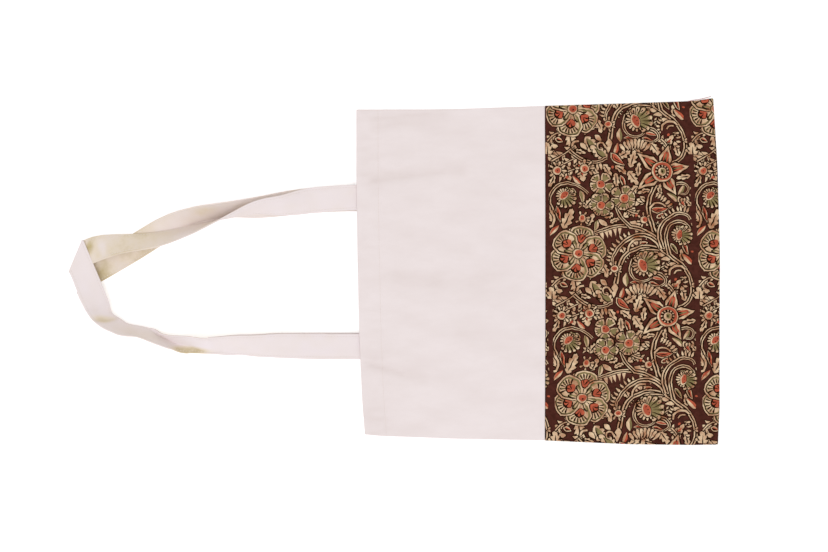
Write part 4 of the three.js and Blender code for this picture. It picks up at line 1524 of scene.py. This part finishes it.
# The back shoulder strap: the same strip, sewn inside the back hem. It lies under the front
# strap, out of step with it, and is folded over once at the end of its loop.
BACK_ROWS = (
    (-13.5, 75.8, 2.7, 0), (-38, 75.8, 2.7, 0), (-62.5, 75.3, 1.2, 0), (-94.3, 73.1, 0.4, 8),
    (-144.2, 66.2, 0.4, 36), (-179.1, 63.2, 0.4, 54), (-214.1, 56.4, 0.4, 48), (-242.7, 43.4, 0.4, 20),
    (-279.8, 21.2, 0.4, 0), (-303.2, 7.4, 0.4, 0), (-329.7, -7.4, 0.4, 0), (-318.1, -30.5, 3.1, 190),
    (-304.9, -51.7, 2.6, 230), (-288.6, -61.2, 1.2, 238), (-267.1, -60.4, 0.4, 247),
    (-248, -70, 0.4, 120), (-232.1, -77.4, 0.4, 130), (-216.2, -81.1, 0.4, 127), (-195, -88, 0.4, 132),
    (-163.2, -79, 0.4, 144), (-120.8, -79.6, 0.4, 165), (-62, -80, 1.2, 180), (-38, -80, 2.7, 180),
    (-13.5, -80, 2.7, 180),
)
BACK_FOLD = (10, 180)
BACK_CREASE = {14: (0.96, 247), 15: (0.76, 246), 16: (0.51, 240), 17: (0.31, 205), 18: (0.04, 205)}
# Places of painted shade on the back strap, and of painted light where the depth is negative
BACK_SHADED = (
    (0, 12, 0.5, 99, 9, 0, 0.4), (0, 9.0, 0.5, 2.0, 9, 0, 0.5), (0, 9.4, 0.4, 0.5, 0.6, 0, 0.35),
    (0, 3.9, 0.5, 1.5, 9, 0, -0.15), (0, 6.9, 0.5, 0.4, 0.4, 0, -0.3), (0, 5.5, 0.5, 0.3, 0.4, 0.4, 0.3),
    (0, 7.9, 0.5, 0.6, 9, 0, 0.3),
)
back_strap, back_strap_stitches = make_strap(
    "back_strap", BACK_ROWS, BACK_FOLD, BACK_CREASE, (), BACK_SHADED, 71
)
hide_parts("strap_back")

# The studio: a plain white table under an even, slightly warm sky, and the camera straight above
# as in the photograph. One soft, cool lamp stands high over the bag and a little below it in the
# picture, so that the creases show.
TABLE_REACH, TABLE_DROP = 30, 0.0003
LAMP_AT, LAMP_SPREAD, LAMP_POWER = (-0.1, -0.42, 1.6), 50, 1.12
CAMERA_AT = (0.0212, -0.0064, 2.078)
scene = bpy.context.scene
table_corners = []
for x, y in ((-1, -1), (1, -1), (1, 1), (-1, 1)):
    table_corners.append((x * TABLE_REACH, y * TABLE_REACH, -TABLE_DROP))
floor_mesh = bpy.data.meshes.new("floor")
floor_mesh.from_pydata(table_corners, [], [(0, 1, 2, 3)])
floor = bpy.data.objects.new("floor", floor_mesh)
scene.collection.objects.link(floor)
white = {"Base Color": (0.9, 0.9, 0.9, 1), "Roughness": 0.9}
glow = {"Emission Color": (1, 1, 1, 1), "Emission Strength": 0.32}
floor_mesh.materials.append(new_material("white_table", white | glow)[0])
light = bpy.data.lights.new("key", "SUN")
light.angle = math.radians(LAMP_SPREAD)
light.energy = LAMP_POWER
light.color = (0.95, 1.0, 1.12)
lamp = bpy.data.objects.new("key", light)
lamp.location = LAMP_AT
lamp.rotation_euler = (-Vector(LAMP_AT)).to_track_quat("-Z", "Y").to_euler()
scene.collection.objects.link(lamp)
world = bpy.data.worlds.new("studio")
world.use_nodes = True
sky = world.node_tree.nodes["Background"]
sky.inputs["Color"].default_value = (1.0, 0.965, 0.9, 1)
sky.inputs["Strength"].default_value = 0.7
scene.world = world
lens = bpy.data.cameras.new("camera")
lens.lens = 85
lens.sensor_width = 36
camera = bpy.data.objects.new("camera", lens)
camera.location = CAMERA_AT
scene.collection.objects.link(camera)
scene.camera = camera
scene.view_settings.view_transform = "Standard"
